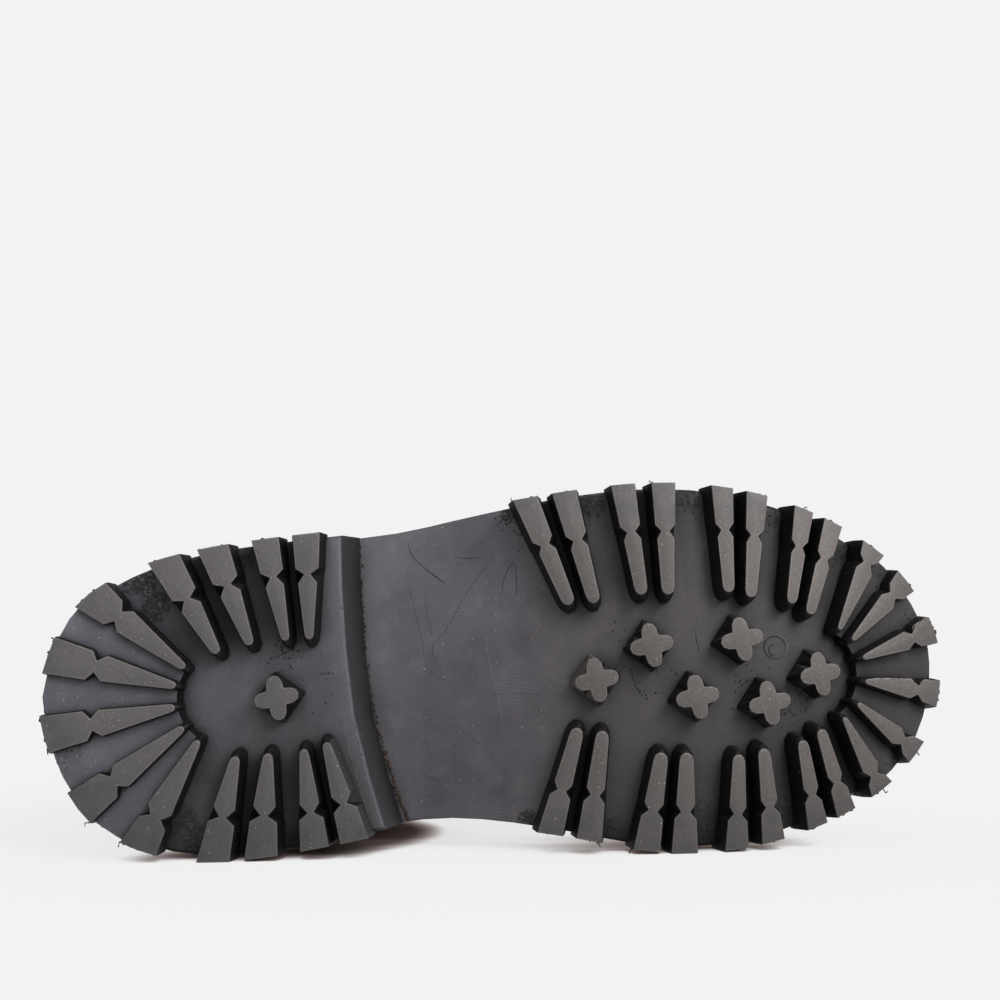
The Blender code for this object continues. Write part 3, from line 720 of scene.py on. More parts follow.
# What use and the mould have left on the tread. Places are stations and distances across, in millimetres.
marks = {
    "scratches": (  # half width and the scratch's course
        (0.10, ((114, -37), (116, -30), (119, -18), (120, -12), (120, -9))),
        (0.08, ((120, -33), (121, -25), (123, -17), (123, -14), (121, -8))),
        (0.10, ((145, -47), (141, -41), (135, -33), (128, -21), (123, -14), (126, -7), (128, -3))),
        (0.22, ((114, -50), (116, -45), (120, -41), (124, -38), (128, -35))),
        (0.14, ((130, -45), (133, -44), (139, -44))),
        (0.14, ((146, -31), (147, -37), (150, -42), (151, -37), (151, -32), (150, -30), (152, -29))),
        (0.08, ((134, 14), (138, 17), (143, 21), (144, 24), (147, 28), (151, 30))),
        (0.07, ((128, 14), (130, 12), (134, 13))),
        (0.08, ((119, 27), (123, 29), (127, 30))),
        (0.07, ((126, -22), (128, -21), (127, -19), (130, -19))),
        (0.16, ((210, -21), (210, -17), (211, -12))),
        (0.20, ((187, -7), (189, -4), (190, -1), (192, 2))),
        (0.07, ((20, -8), (26, -5), (30, 2))),
    ),
    "paleLines": (
        (0.14, ((109, -36), (110, -38), (112, -39), (120, -41), (133, -43), (135, -42), (136, -41))),
        (0.09, ((141, -20), (142, -10), (145, 2), (147, 13))),
        (0.12, ((112, -23), (114, -18))),
        (0.13, ((117, -6), (118, -7))),
        (0.10, ((200, -26), (204, -24))),
        (0.10, ((244, -1), (248, 2))),
        (0.13, ((99, -50), (112, -52.2), (122, -54.4), (132, -57), (141, -59.3), (146, -60.4))),
        # painted highlight: a pale arc round the mould's ring mark, where its rim catches the light
        (0.22, ((235.6, -18.3), (238.7, -17.9), (240.7, -15.6), (240.9, -13.2), (239.9, -11.0))),
    ),
    # half width of a dot, pitch and course of the fine dotted lines
    "dots": (0.17, 1.0, ((122, -6), (128, -3), (137, -1), (143, 1), (153, 1), (159, 1), (167, -2))),
    "ghostRing": (
        0.07,
        0.8,
        ((135, -50), (137, -52), (140, -52), (141, -49), (139, -47), (136, -47), (135, -50)),
    ),
    "breastEdge": (
        (93, -50), (94, -40), (94, -26), (95.3, -14), (96, -7),
        (97.6, 4), (99.8, 16), (104, 29), (109, 44),
    ),
    "lip": ((97, 3), (95, 6), (94, 10), (96, 17), (98.5, 25), (101, 33), (104, 42)),
    "innerLip": ((98.6, 14), (100.4, 22), (103.4, 32), (106.6, 41)),
    "breastFoot": (
        (98, -49), (98.6, -38), (99.5, -24), (100.6, -12), (102.4, 0),
        (105, 12), (108.2, 24), (112, 35), (115.4, 43),
    ),
    "loamShares": (0.85, 0.35),  # how much of the breast's foot and of its edge holds loam
    "mouldRing": (236.5, -14.0, 3.7),  # station, across, radius
    "mouldHook": (236.3, -13.1, 1.9, 1.8),  # station, across, half length, half width
    "crumbs": (  # station, across, spread, how many
        (36, -33, 3.0, 60),
        (60, 46, 3.6, 90),
        (64, -46, 3.0, 60),
        (75, -12, 3.2, 46),
        (92, -4, 4.0, 26),
        (149, -57, 2.2, 50),
        (153, -50, 2.0, 26),
        (157, 42, 1.6, 34),
        (175, -60, 2.6, 60),
        (208, -62, 2.4, 60),
        (238, -58, 2.4, 60),
        (262, -44, 3.0, 60),
        (276, -34, 2.4, 40),
        (216, 44, 3.4, 90),
        (240, 40, 3.0, 70),
        (268, 26, 2.6, 50),
        (181, 44, 2.6, 40),
        (246, 8, 4.5, 60),
        (196, -5, 5.0, 50),
        (186, -18, 4.0, 40),
        (226, -3, 5.0, 46),
        (288, 0, 3.0, 24),
        (286, -24, 2.4, 30),
        (10, 20, 4.0, 20),
    ),
    "smallestTop": 15,  # square millimetres of the smallest face that counts as a lug's top
    "shortestLug": 9.5,  # half length
    "tipStep": 1.25,  # how far the fine arc lies from a lug's tip
    "flashEvery": 0.9,
    "flashThick": 0.16,
    "flashReach": (0.16, 0.9),  # usual and largest reach of the torn skin past a lug's end
    "rimReach": (0.10, 0.35),  # the same past the plate's rim
    "paleSkin": ((280, -15), (280, 0)),  # the two lugs at the toe whose upper edge has torn, silvery skin
    "hairs": (  # station, across and the way a curl of torn skin hangs out
        (14.5, 41, -1.6, 1.6),
        (23, 48.3, -1.7, 0.8),
        (1.0, -17, -1.2, 0.3),
        (3.5, 20, -1.0, 0.6),
        (186, 50.3, -2.2, 0.5),
        (179.5, 49, -0.8, 1.2),
        (272, 32.6, 2.0, 0.6),
        (284.5, 22, 1.2, 0.8),
        (193, -67.6, -0.6, -1.4),
        (246, -60, 0.4, -1.2),
        (150, -62, -1.2, -0.8),
    ),
}
random.seed(11)
rubberPieces = [outsole, heel]


def treeOf(pieces):
    places, faces = [], []
    for piece in pieces:
        start = len(places)
        places += [vert.co.copy() for vert in piece.data.vertices]
        faces += [[start + index for index in face.vertices] for face in piece.data.polygons]
    return BVHTree.FromPolygons(places, faces)


soleTree = treeOf(rubberPieces)


def onSole(station, across):
    # the sole's surface as seen from the ground: place and normal
    start = resting(station, across, -60)
    hit, normal, _, _ = soleTree.ray_cast(start, (resting(station, across, 0) - start).normalized(), 0.2)
    return (hit, normal) if hit else (None, None)


def smoothCourse(course, pitch):
    # evenly spaced places on a soft curve through the given ones
    knots = [np.array(knot, dtype=float) for knot in (course[0], *course, course[-1])]
    spots = []
    for i in range(1, len(knots) - 2):
        before, start, end, after = knots[i - 1 : i + 3]
        count = max(int(np.linalg.norm(end - start) / pitch), 1)
        for step in range(count):
            t = step / count
            spots.append(
                0.5
                * (
                    2 * start
                    + (end - before) * t
                    + (2 * before - 5 * start + 4 * end - after) * t**2
                    + (3 * start - before - 3 * end + after) * t**3
                )
            )
    spots.append(knots[-1])
    return spots


def drawnLine(spots, radius, lift=0.0, closed=False):
    # a thin closed tube through places, thinner at its ends
    curve = bpy.data.curves.new("line", "CURVE")
    curve.dimensions = "3D"
    curve.bevel_depth = mm
    curve.bevel_resolution = 0
    curve.use_fill_caps = True
    spline = curve.splines.new("POLY")
    spline.points.add(len(spots) - 1)
    for index, (spot, up) in enumerate(spots):
        share = index / max(len(spots) - 1, 1)
        thin = 1.0 if closed else min(1.0, 0.25 + 5 * min(share, 1 - share))
        spline.points[index].co = (*(spot + up * lift * mm), 1)
        spline.points[index].radius = radius * thin * random.uniform(0.75, 1.2)
    item = bpy.data.objects.new("line", curve)
    bpy.context.scene.collection.objects.link(item)
    return item


def joined(items, name, material, smoothAngle=50):
    deselectAll()
    for item in items:
        item.select_set(True)
    bpy.context.view_layer.objects.active = items[0]
    if any(item.type == "CURVE" for item in items):
        bpy.ops.object.convert(target="MESH")
    bpy.ops.object.join()
    piece = bpy.context.active_object
    bpy.ops.object.transform_apply(location=True, rotation=True, scale=True)
    piece.name = piece.data.name = name
    for vert in piece.data.vertices:
        vert.co.z = max(vert.co.z, 0.0)  # nothing goes through the floor
    piece.data.materials.clear()
    bpy.ops.object.shade_smooth_by_angle(angle=math.radians(smoothAngle))
    finished(piece, [material])
    print(name, len(piece.data.polygons), "faces")


def grounded(course, pitch=0.8):
    spots = [onSole(*spot) for spot in smoothCourse(course, pitch)]
    return [(spot, up) for spot, up in spots if spot is not None]


def plainRubber(name, roughness, *tones):
    # Marks in and on the same rubber, matt and patchy
    material, shader, where = pieceMaterial(name, Specular_IOR_Level=0.25, Roughness=roughness)
    _, color = cloudy(material, where, tones, 1.4, detail=4.0, roughness=0.7, low=0.35, high=0.65)
    setInputs(material, shader, {"Base Color": color})
    return material


cutRubber = plainRubber("cutBlackRubber", 0.6, "#141315", "#2A292C")
# pale rubber for rubbed lines, and for painted highlights at the tips' steps and round the mould's ring
paleRubberAndPaintedHighlight = plainRubber("rubbedPaleRubberAndPaintedHighlight", 0.6, "#57545A", "#6C696C")
wornLip = plainRubber("wornRubberLip", 0.7, "#3E3B3A", "#6B6259")
# Skin of rubber from the mould's joint, torn and silvery where it has bleached
silverSkin = plainRubber("tornRubberSkin", 0.6, "#4A4645", "#A8A29C")
# Road dirt: dry loam and rubber crumbs, matt
dirtMaterial = plainRubber("dryLoam", 0.95, "#16110D", "#4C3B2D")
crumbMaterial = plainRubber("rubberCrumbs", 0.85, "#0B0A0B", "#2A2421")

for key, sunk, name, material in (
    ("scratches", 0.3, "treadScratches", cutRubber),
    ("paleLines", 0.4, "treadRubbedLinesAndPaintedHighlight", paleRubberAndPaintedHighlight),
):
    lines = [drawnLine(grounded(course), width, -sunk * width) for width, course in marks[key]]
    joined(lines, name, material)


def crumb(spot, up, size):
    # one grain, a low facetted stone, turned and stretched by chance
    angle = random.uniform(0, 6.28)
    axis = Vector((random.random(), random.random(), random.random() + 0.1))
    stretch = Matrix.Diagonal((size * random.uniform(0.6, 1.4), size, size * random.uniform(0.4, 0.9), 1))
    place = Matrix.Translation(spot + up * size * 0.1 * mm)
    return twinOf(grainModel, place @ Matrix.Rotation(angle, 4, axis) @ stretch)


deselectAll()
bpy.ops.mesh.primitive_ico_sphere_add(subdivisions=1, radius=mm)
grainModel = bpy.context.active_object

dots = []
for width, pitch, course in (marks["dots"], marks["ghostRing"]):
    dots += [crumb(spot, up, width) for spot, up in grounded(course, pitch)]
joined(dots, "treadMouldDots", cutRubber)

loam = []
footShare, edgeShare = marks["loamShares"]
for spot in smoothCourse(marks["breastFoot"], 0.35):
    if random.random() < footShare:
        place, up = onSole(spot[0] + random.gauss(0, 0.35), spot[1])
        if place:
            loam.append(crumb(place, up, random.uniform(0.12, 0.42) * (1.5 if spot[1] > 20 else 1.0)))
for spot in smoothCourse(marks["breastEdge"], 0.8):
    if random.random() < edgeShare:
        place, up = onSole(spot[0] - 0.3, spot[1])
        if place:
            loam.append(crumb(place, up, random.uniform(0.10, 0.26)))
joined(loam, "treadLoam", dirtMaterial)

grains = []
for station, across, spread, count in marks["crumbs"]:
    for _ in range(2 * count):
        place, up = onSole(random.gauss(station, spread), random.gauss(across, spread))
        if place and heightOverTread(toBoot @ place) > 2.0:  # only between the lugs
            grains.append(crumb(place, up, 0.09 + 0.28 * random.random() ** 3))
joined(grains, "treadCrumbs", crumbMaterial)

lipLines = [
    drawnLine(grounded(marks["lip"], 0.7), 0.20, -0.06),
    drawnLine(grounded(marks["innerLip"], 0.7), 0.18, -0.12),
]
joined(lipLines, "breastLip", wornLip)

# a shallow round mark of the mould, with a hook of extra rubber inside
station, across, radius = marks["mouldRing"]
ringCourse = [
    (station + radius * math.cos(angle), across + radius * math.sin(angle))
    for angle in np.linspace(0.6, 2 * math.pi + 0.4, 22)
]
station, across, halfLong, halfWide = marks["mouldHook"]
hookCourse = [
    (station + halfLong * math.cos(angle), across + halfWide * math.sin(angle))
    for angle in np.linspace(1.2, 5.0, 12)
]
mouldLines = [
    drawnLine(grounded(ringCourse, 0.5), 0.34, -0.12),
    drawnLine(grounded(hookCourse, 0.5), 0.30, -0.1),
]
joined(mouldLines, "mouldMark", rubberMaterials["field"])


def topFaces(piece):
    for face in piece.data.polygons:
        if face.material_index == slots["tread"] and face.area > marks["smallestTop"] * mm * mm:
            yield [toBoot @ piece.data.vertices[index].co for index in face.vertices], face.normal.copy()


# a fine step in an arc across every lug's inner tip, drawn pale as a painted highlight, and torn skin along
# its outer end
steps, skins, paleSkins = [], [], []
for piece in rubberPieces:
    for places, normal in topFaces(piece):
        centre = sum(places, Vector()) / len(places)
        if max((place - centre).length for place in places) < marks["shortestLug"]:
            continue
        normalInBoot = turnToBoot @ normal
        inward = -outwards(centre)
        tip = max(places, key=lambda place: place.dot(inward))
        aim = (tip - centre).normalized()
        near = [place for place in places if (place - tip).length < 4.6 and (tip - place).dot(aim) < 2.4]
        if len(near) >= 4:
            side = aim.cross(normalInBoot)
            near.sort(key=lambda place: (place - tip).dot(side))
            arc = [(toRest @ (place - aim * marks["tipStep"]), normal) for place in near]
            steps.append(drawnLine(arc, 0.10, -0.02, True))
        for first, second in zip(places, places[1:] + places[:1]):
            out = outwards((first + second) / 2)
            edge = (second - first).normalized()
            if abs(edge.dot(out)) < 0.55 and ((first + second) / 2 - centre).dot(out) > 6:
                skins.append((first, second, out, normalInBoot))
        if any(math.hypot(centre.x - x, centre.y - y) < 6 for x, y in marks["paleSkin"]):
            axis = outwards(centre)
            aside = axis.cross(normalInBoot)
            aside *= -1 if aside.y > 0 else 1
            side = sorted((place for place in places if (place - centre).dot(aside) > 0.5), key=axis.dot)
            torn = []
            for start, end in zip(side, side[1:]):
                for share in np.linspace(0, 1, max(int((end - start).length / 0.8), 1), endpoint=False):
                    down = normalInBoot * random.uniform(0.5, 1.3)
                    torn.append((toRest @ (start.lerp(end, share) + aside * 0.45 - down), normal))
            paleSkins.append(drawnLine(torn, 0.24))
joined(steps, "tipStepsWithPaintedHighlight", paleRubberAndPaintedHighlight)
joined(paleSkins, "tornPaleSkin", silverSkin)

rims = []  # the plate's edge between the lugs
for piece in rubberPieces:
    model = bmesh.new()
    model.from_mesh(piece.data)
    for edge in model.edges:
        if len(edge.link_faces) != 2 or not edge.is_convex or edge.calc_length() < 1.5 * mm:
            continue
        first, second = (toBoot @ vert.co for vert in edge.verts)
        centre = (first + second) / 2
        out, ground = outwards(centre), towardsGround(centre)
        normals = [turnToBoot @ face.normal for face in edge.link_faces]
        if 2.5 < heightOverTread(centre) < 12 and max(normal.dot(ground) for normal in normals) > 0.9:
            if max(normal.dot(out) for normal in normals) > 0.7 and not 88 < centre.x < 150:
                rims.append((first, second, out, ground))
    model.free()


def tornSkin(first, second, out, normal, reaches):
    # a ragged fin as thin as paper, from a strip whose outer side is pulled out unevenly
    length = (second - first).length
    count = max(int(length / marks["flashEvery"]), 2)
    deselectAll()
    bpy.ops.mesh.primitive_grid_add(x_subdivisions=count, y_subdivisions=1, size=2)
    fin = bpy.context.active_object
    usual, largest = reaches
    reach = {}
    for vert in fin.data.vertices:
        column = round((vert.co.x + 1) / 2 * count)
        if column not in reach:
            reach[column] = usual * random.random() + largest * random.random() ** 5
        base = first.lerp(second, column / count) - normal * 0.45
        away = out * (reach[column] if vert.co.y > 0 else -0.3)
        vert.co = toRest @ (base + away + normal * random.uniform(-0.12, 0.12))
    thicken = fin.modifiers.new("thicken", "SOLIDIFY")
    thicken.thickness = marks["flashThick"] * mm
    makeActive(fin)
    bpy.ops.object.modifier_apply(modifier=thicken.name)
    return fin


fins = [tornSkin(*skin, marks["flashReach"]) for skin in skins]
fins += [tornSkin(*rim, marks["rimReach"]) for rim in rims]
corners = [place for skin in skins for place in skin[:2]]
for station, across, alongHair, acrossHair in marks["hairs"]:
    root = min(corners, key=lambda place: math.hypot(place.x - station, place.y - across))
    spots = []
    for t in np.linspace(-0.2, 1, 8):
        curl = 0.6 * math.sin(4.5 * t + station) * t
        turned = Vector((alongHair * t + acrossHair * curl, acrossHair * t - alongHair * curl, 0.5 + curl))
        spots.append((toRest @ (root + turned), Vector((0, -1, 0))))
    fins.append(drawnLine(spots, 0.2))
joined(fins, "tornSkin", rubberMaterials["wall"])
bpy.data.objects.remove(grainModel)
print("tread marks are done")

# Upper: one soft hide on a last, then lived in. The creases are soft troughs with raised lips.
upper = {
    "smooth": 2,  # subdivision levels over the CAD form
    "deeper": 1.3,  # all creases and folds together
    "axis": ((270, -8, 30), (205, -7, 38), (160, -6, 62), (100, -2, 100), (72, 2, 150), (70, 2, 280)),
    "creases": (  # station, height, lean, bow, width, depth, side reach, lowest height, wobble
        (214, 88, 78, 10, 4.6, 1.5, 44, 30, 2.4),
        (203, 92, 84, 9, 3.8, 1.9, 46, 26, 2.2),
        (193, 96, 92, 7, 4.4, 1.6, 44, 32, 2.6),
        (182, 100, 101, 5, 5.2, 1.3, 40, 42, 2.8),
        (158, 122, 150, -6, 6.0, 2.1, 42, 60, 3.0),
        (150, 131, 158, -8, 6.5, 2.6, 48, 70, 3.2),
        (145, 143, 168, -7, 6.0, 2.2, 48, 84, 3.4),
        (140, 158, 176, -5, 7.5, 1.8, 46, 100, 3.6),
    ),
    "folds": (  # shaft: height in front and behind, width, depth, deepest side in degrees, spread
        (150, 118, 8.0, 2.4, 150, 75),
        (166, 140, 9.0, 2.0, -140, 70),
        (184, 152, 10.0, 2.2, 180, 60),
        (200, 186, 11.0, 1.6, 60, 70),
        (222, 205, 13.0, 1.5, -70, 80),
    ),
    "dents": (  # station, across, height, radius, depth: where the empty shaft gives
        (70, -50, 185, 38, 3.6),
        (66, 52, 196, 42, 3.2),
        (104, -46, 226, 30, 2.2),
        (40, 46, 232, 30, -1.6),
        (44, -46, 60, 22, 1.4),
        (236, -40, 48, 20, -0.8),
    ),
    "ripple": (24.0, 0.55),  # size and depth of the hide's slow waves
    "grainRipple": (5.5, 0.10),
    "wobble": 16.0,  # how long the creases' own waves are
    "ahead": (0.62, 0, 0.78),  # the side of the foot and shaft where the ankle bends the hide
    "heldHeel": (22, 44),  # heights over the tread between which the lasting lets the hide go
    "heldFront": (17, 34),
    "heldMouth": (250, 268, 0.6),  # the mouth's seam holds it too, by this much
}


def alongAxis(place):
    # nearest place on the foot's and the shaft's middle line
    nearest, best = None, 1e9
    for start, end in zip(upper["axis"], upper["axis"][1:]):
        start, end = Vector(start), Vector(end)
        line = end - start
        share = min(max((place - start).dot(line) / line.length_squared, 0), 1)
        point = start + line * share
        if (place - point).length < best:
            nearest, best = point, (place - point).length
    return nearest


def softStep(value, low, high):
    share = min(max((value - low) / (high - low), 0), 1)
    return share * share * (3 - 2 * share)


def trough(distance, width, depth):
    # soft valley between two lower ridges
    middle = math.exp(-((distance / width) ** 2))
    ridges = math.exp(-(((abs(distance) - 2.1 * width) / (1.1 * width)) ** 2))
    return depth * (0.42 * ridges - middle)


def isOuter(place, normal):
    return normal.dot(place - alongAxis(place)) > 0


def creaseDepth(place):
    depth = 0.0
    axis = alongAxis(place)
    wobble = noise.noise(place / upper["wobble"])
    ahead = softStep((place - axis).normalized().dot(Vector(upper["ahead"])), -0.25, 0.35)
    across = place.y + 6
    for station, height, lean, bow, width, deep, reach, lowest, sway in upper["creases"]:
        angle = math.radians(lean)
        distance = (place.x - station) * math.sin(angle) - (place.z - height) * math.cos(angle)
        distance += bow * (across / 40) ** 2 + sway * wobble
        fade = (1 - softStep(abs(across), reach - 14, reach + 6)) * softStep(place.z, lowest, lowest + 22)
        depth += trough(distance, width, deep) * fade * ahead
    turnRound = math.degrees(math.atan2(place.y - axis.y, place.x - axis.x))
    onShaft = softStep(place.z, 90, 125)
    share = min(max((place.x - 5) / 130, 0), 1)
    for front, behind, width, deep, side, spread in upper["folds"]:
        distance = place.z - (behind + (front - behind) * share) + 5.0 * wobble
        aside = (turnRound - side + 180) % 360 - 180
        depth += trough(distance, width, deep) * math.exp(-((aside / spread) ** 2)) * onShaft
    for station, across, height, radius, deep in upper["dents"]:
        gone = (place - Vector((station, across, height))).length / radius
        depth -= deep * math.exp(-gone * gone)
    for (size, deep), offset in ((upper["ripple"], (3, 1, 7)), (upper["grainRipple"], (9, 4, 2))):
        depth += deep * noise.noise(place / size + Vector(offset))
    # the edge at the sole is held by the lasting, and the mouth by its seam
    held = softStep(heightOverTread(place), *upper["heldHeel" if place.x < 100 else "heldFront"])
    low, high, hold = upper["heldMouth"]
    return upper["deeper"] * depth * held * (1 - hold * softStep(place.z, low, high))


def softenedUpper():
    piece = copyOfNode("upper", "upperLeather")
    editAll(piece)
    bpy.ops.mesh.tris_convert_to_quads(face_threshold=math.radians(60), shape_threshold=math.radians(60))
    bpy.ops.object.mode_set(mode="OBJECT")
    soften = piece.modifiers.new("soften", "SUBSURF")
    soften.levels = soften.render_levels = upper["smooth"]
    bpy.ops.object.modifier_apply(modifier=soften.name)
    return piece


def livedIn(piece):
    # the hide is pushed in and out by its creases, whose depth is kept for its colour
    normals = [vert.normal.copy() for vert in piece.data.vertices]
    depths = piece.data.attributes.new("crease", "FLOAT", "POINT")
    for vert, normal in zip(piece.data.vertices, normals):
        place = toBoot @ vert.co
        side = turnToBoot @ normal
        depth = creaseDepth(place)
        depths.data[vert.index].value = depth
        moved = toRest @ (place + side * (depth if isOuter(place, side) else -depth))
        vert.co = (moved.x, moved.y, max(moved.z, 0.0))
    piece.data.update()


# Seams, in the boot's side view: station and height of each border's corners
seams = {
    "vamp": ((186, 158), (166, 137), (149, 119), (134, 98), (121, 72), (111, 48), (104, 28), (101, 8)),
    "counter": ((85, 8), (84, 30), (77, 51), (61, 72), (36, 90), (10, 98), (-24, 101)),
    "backStripHalf": 8.0,
    "backStripAcross": 1.8,
    "backStripFrom": 92.0,
    "bindingOutside": 9.0,
    "bindingInside": 7.0,
    "rim": ((0.5, 266.0), (139.5, 272.0)),  # the mouth's plane, behind and in front
    "sunk": 0.35,  # a panel starts this far inside the upper
    "thick": 1.25,
    "bindingThick": 0.8,
    "bevel": (0.55, 1.3),  # share of its thickness that a panel's edge keeps, and how far in it is full
    "rows": (2.2, 5.0),  # stitch rows behind a border
    "bindingRow": 1.6,
    "pitch": 3.3,
    "stitch": (1.22, 0.34, 0.30),  # half sizes of one stitch
    "stitchSunk": 0.08,
}


def fieldHeight(station):
    low, high = boot["arch"]
    share = min(max((station - low) / (high - low), 0), 1)
    return boot["seatHeight"] + (boot["lugHeight"] - boot["seatHeight"]) * share * share * (3 - 2 * share)


def overPlate(place):
    return heightOverTread(place) - fieldHeight(place.x) - boot["plate"]


def sideOf(line, place):
    # signed distance in the side view, below zero to the right of the line's own direction
    best, signed = 1e9, 0.0
    for (x0, z0), (x1, z1) in zip(line, line[1:]):
        dx, dz = x1 - x0, z1 - z0
        share = min(max(((place.x - x0) * dx + (place.z - z0) * dz) / (dx * dx + dz * dz), 0), 1)
        offX, offZ = place.x - x0 - share * dx, place.z - z0 - share * dz
        length = math.hypot(offX, offZ)
        if length < best:
            best, signed = length, math.copysign(length, dx * offZ - dz * offX)
    return signed


def belowRim(place):
    (x0, z0), (x1, z1) = seams["rim"]
    return z0 + (z1 - z0) * (place.x - x0) / (x1 - x0) - place.z


def vampBorder(place):
    return -sideOf(seams["vamp"], place)


def counterBorder(place):
    return -sideOf(seams["counter"], place)


def stripBorder(place):
    if place.x > 60:
        return 50.0
    return max(
        abs(place.y - seams["backStripAcross"]) - seams["backStripHalf"],
        seams["backStripFrom"] - place.z,
        seams["bindingOutside"] - 2 - belowRim(place),
    )


def bindingBorder(place, outer):
    return belowRim(place) - seams["bindingOutside" if outer else "bindingInside"]


def panel(name, border, thick, both=False):
    # a thin piece cut from the upper's own face along a border, on its outer side or on both
    piece = twinOf(upperPiece)
    piece.name = piece.data.name = name
    mesh = bmesh.new()
    mesh.from_mesh(piece.data)
    mesh.normal_update()
    hidden = []
    for face in mesh.faces:
        place = toBoot @ face.calc_center_median()
        if not both and (not isOuter(place, turnToBoot @ face.normal) or overPlate(place) <= -0.2):
            hidden.append(face)
    bmesh.ops.delete(mesh, geom=hidden, context="FACES")
    value = {}

    def measured(vert):
        if vert not in value:
            place = toBoot @ vert.co
            away = border(place, isOuter(place, turnToBoot @ vert.normal)) if both else border(place)
            value[vert] = away if abs(away) >= 0.05 else 0.0
        return value[vert]

    for edge in mesh.edges[:]:
        first, second = edge.verts
        if measured(first) * measured(second) < 0:
            share = measured(first) / (measured(first) - measured(second))
            _, made = bmesh.utils.edge_split(edge, first, share)
            value[made] = 0.0
    for face in mesh.faces[:]:
        crossing = [vert for vert in face.verts if measured(vert) == 0.0]
        if len(crossing) == 2 and not any(set(edge.verts) == set(crossing) for edge in face.edges):
            bmesh.utils.face_split(face, *crossing)
    outside = [face for face in mesh.faces if max(measured(vert) for vert in face.verts) > 0.0]
    bmesh.ops.delete(mesh, geom=outside, context="FACES")
    bmesh.ops.delete(mesh, geom=[vert for vert in mesh.verts if not vert.link_faces], context="VERTS")
    heights = []
    least, full = seams["bevel"]
    for vert in mesh.verts:
        height = least + (1 - least) * softStep(-measured(vert), 0.0, full)
        if not both:
            height *= softStep(overPlate(toBoot @ vert.co), 0.2, 3.0)
        heights.append(max(height, 0.02))
    for vert in mesh.verts:
        vert.co -= vert.normal * seams["sunk"] * mm
    mesh.to_mesh(piece.data)
    mesh.free()
    group = piece.vertex_groups.new(name="height")
    for index, height in enumerate(heights):
        group.add([index], height, "REPLACE")
    makeActive(piece)
    thicken = piece.modifiers.new("thicken", "SOLIDIFY")
    thicken.thickness = (thick + seams["sunk"]) * mm
    thicken.offset = 1.0
    thicken.vertex_group = "height"
    bpy.ops.object.modifier_apply(modifier=thicken.name)
    piece.vertex_groups.clear()
    bpy.ops.object.shade_smooth_by_angle(angle=math.radians(40))
    return piece


def contour(border, level):
    # the line on the upper's outer face at that distance from a border, as ordered places
    mesh = upperPiece.data
    values = [border(toBoot @ vert.co) - level for vert in mesh.vertices]
    links = {}
    spots = {}
    for face in mesh.polygons:
        place = toBoot @ face.center
        if not isOuter(place, turnToBoot @ face.normal) or overPlate(place) < 1.2:
            continue
        ends = []
        for first, second in face.edge_keys:
            if (values[first] < 0) != (values[second] < 0):
                share = values[first] / (values[first] - values[second])
                key = (first, second)
                spot = mesh.vertices[first].co.lerp(mesh.vertices[second].co, share)
                up = mesh.vertices[first].normal.lerp(mesh.vertices[second].normal, share)
                spots[key] = (spot, up.normalized())
                ends.append(key)
        if len(ends) == 2:
            links.setdefault(ends[0], []).append(ends[1])
            links.setdefault(ends[1], []).append(ends[0])
    lines = []
    seen = set()
    starts = sorted((key for key in links if len(links[key]) == 1)) + sorted(links)
    for start in starts:
        if start in seen:
            continue
        line, here = [start], start
        seen.add(start)
        while True:
            ahead = [key for key in links[here] if key not in seen]
            if not ahead:
                break
            here = ahead[0]
            seen.add(here)
            line.append(here)
        if len(line) > 6:
            lines.append([spots[key] for key in line])
    return lines


def evenly(line, pitch):
    # places along a line at an even pitch, each with the line's direction and the face's normal
    spots = []
    walked, due = 0.0, pitch / 2
    for (start, up), (end, _) in zip(line, line[1:]):
        length = (end - start).length / mm
        while length > 0 and walked + length >= due:
            share = (due - walked) / length
            spots.append((start.lerp(end, share), (end - start).normalized(), up))
            due += pitch
        walked += length
    return spots


def sewn(name, spots, sizes, material):
    # one stitch is copied to every spot, and the copies are joined
    deselectAll()
    bpy.ops.mesh.primitive_uv_sphere_add(segments=8, ring_count=5, radius=mm, rotation=(0, math.pi / 2, 0))
    stitch = bpy.context.active_object
    bpy.ops.object.transform_apply(location=False, rotation=True, scale=False)
    stitch.scale = sizes
    bpy.ops.object.transform_apply(location=False, rotation=False, scale=True)
    copies = []
    for spot, along, up in spots:
        across = up.cross(along).normalized()
        lie = Matrix((along, across, along.cross(across))).transposed().to_4x4()
        copies.append(twinOf(stitch, Matrix.Translation(spot) @ lie))
    bpy.data.objects.remove(stitch)
    joined(copies, name, material, 180)


# Waxed full-grain leather: soft, uneven brown from hand waxing, darker in the folds and scuffed pale on
# the toe, with pebbled grain
hide = {
    "shaft": ("#24150E", "#462B1E", "#754E39"),  # dark, brown and worn
    "binding": ("#1A100C", "#2E1D16", "#543A2B"),
    "scuff": "#8E745F",
    "cutEdge": "#17100C",
    "cloud": 38.0,
    "toeCap": (286, -10, 40, 62.0, 8.0),  # the scuffs' place in the boot, and their reach from none to full
    "pebble": 1.15,  # size of the grain's pebbles, which are 0.6 mm and drawn coarser to show
    "pore": 0.35,
    "thread": ("#4A3826", "#8B6F50"),
    "twist": 0.5,
    "lining": ("#6F5438", "#9B7A55"),
    "liningGrain": (0.6, 0.8, "#4A3724", "#C3A27A", 0.25),
}


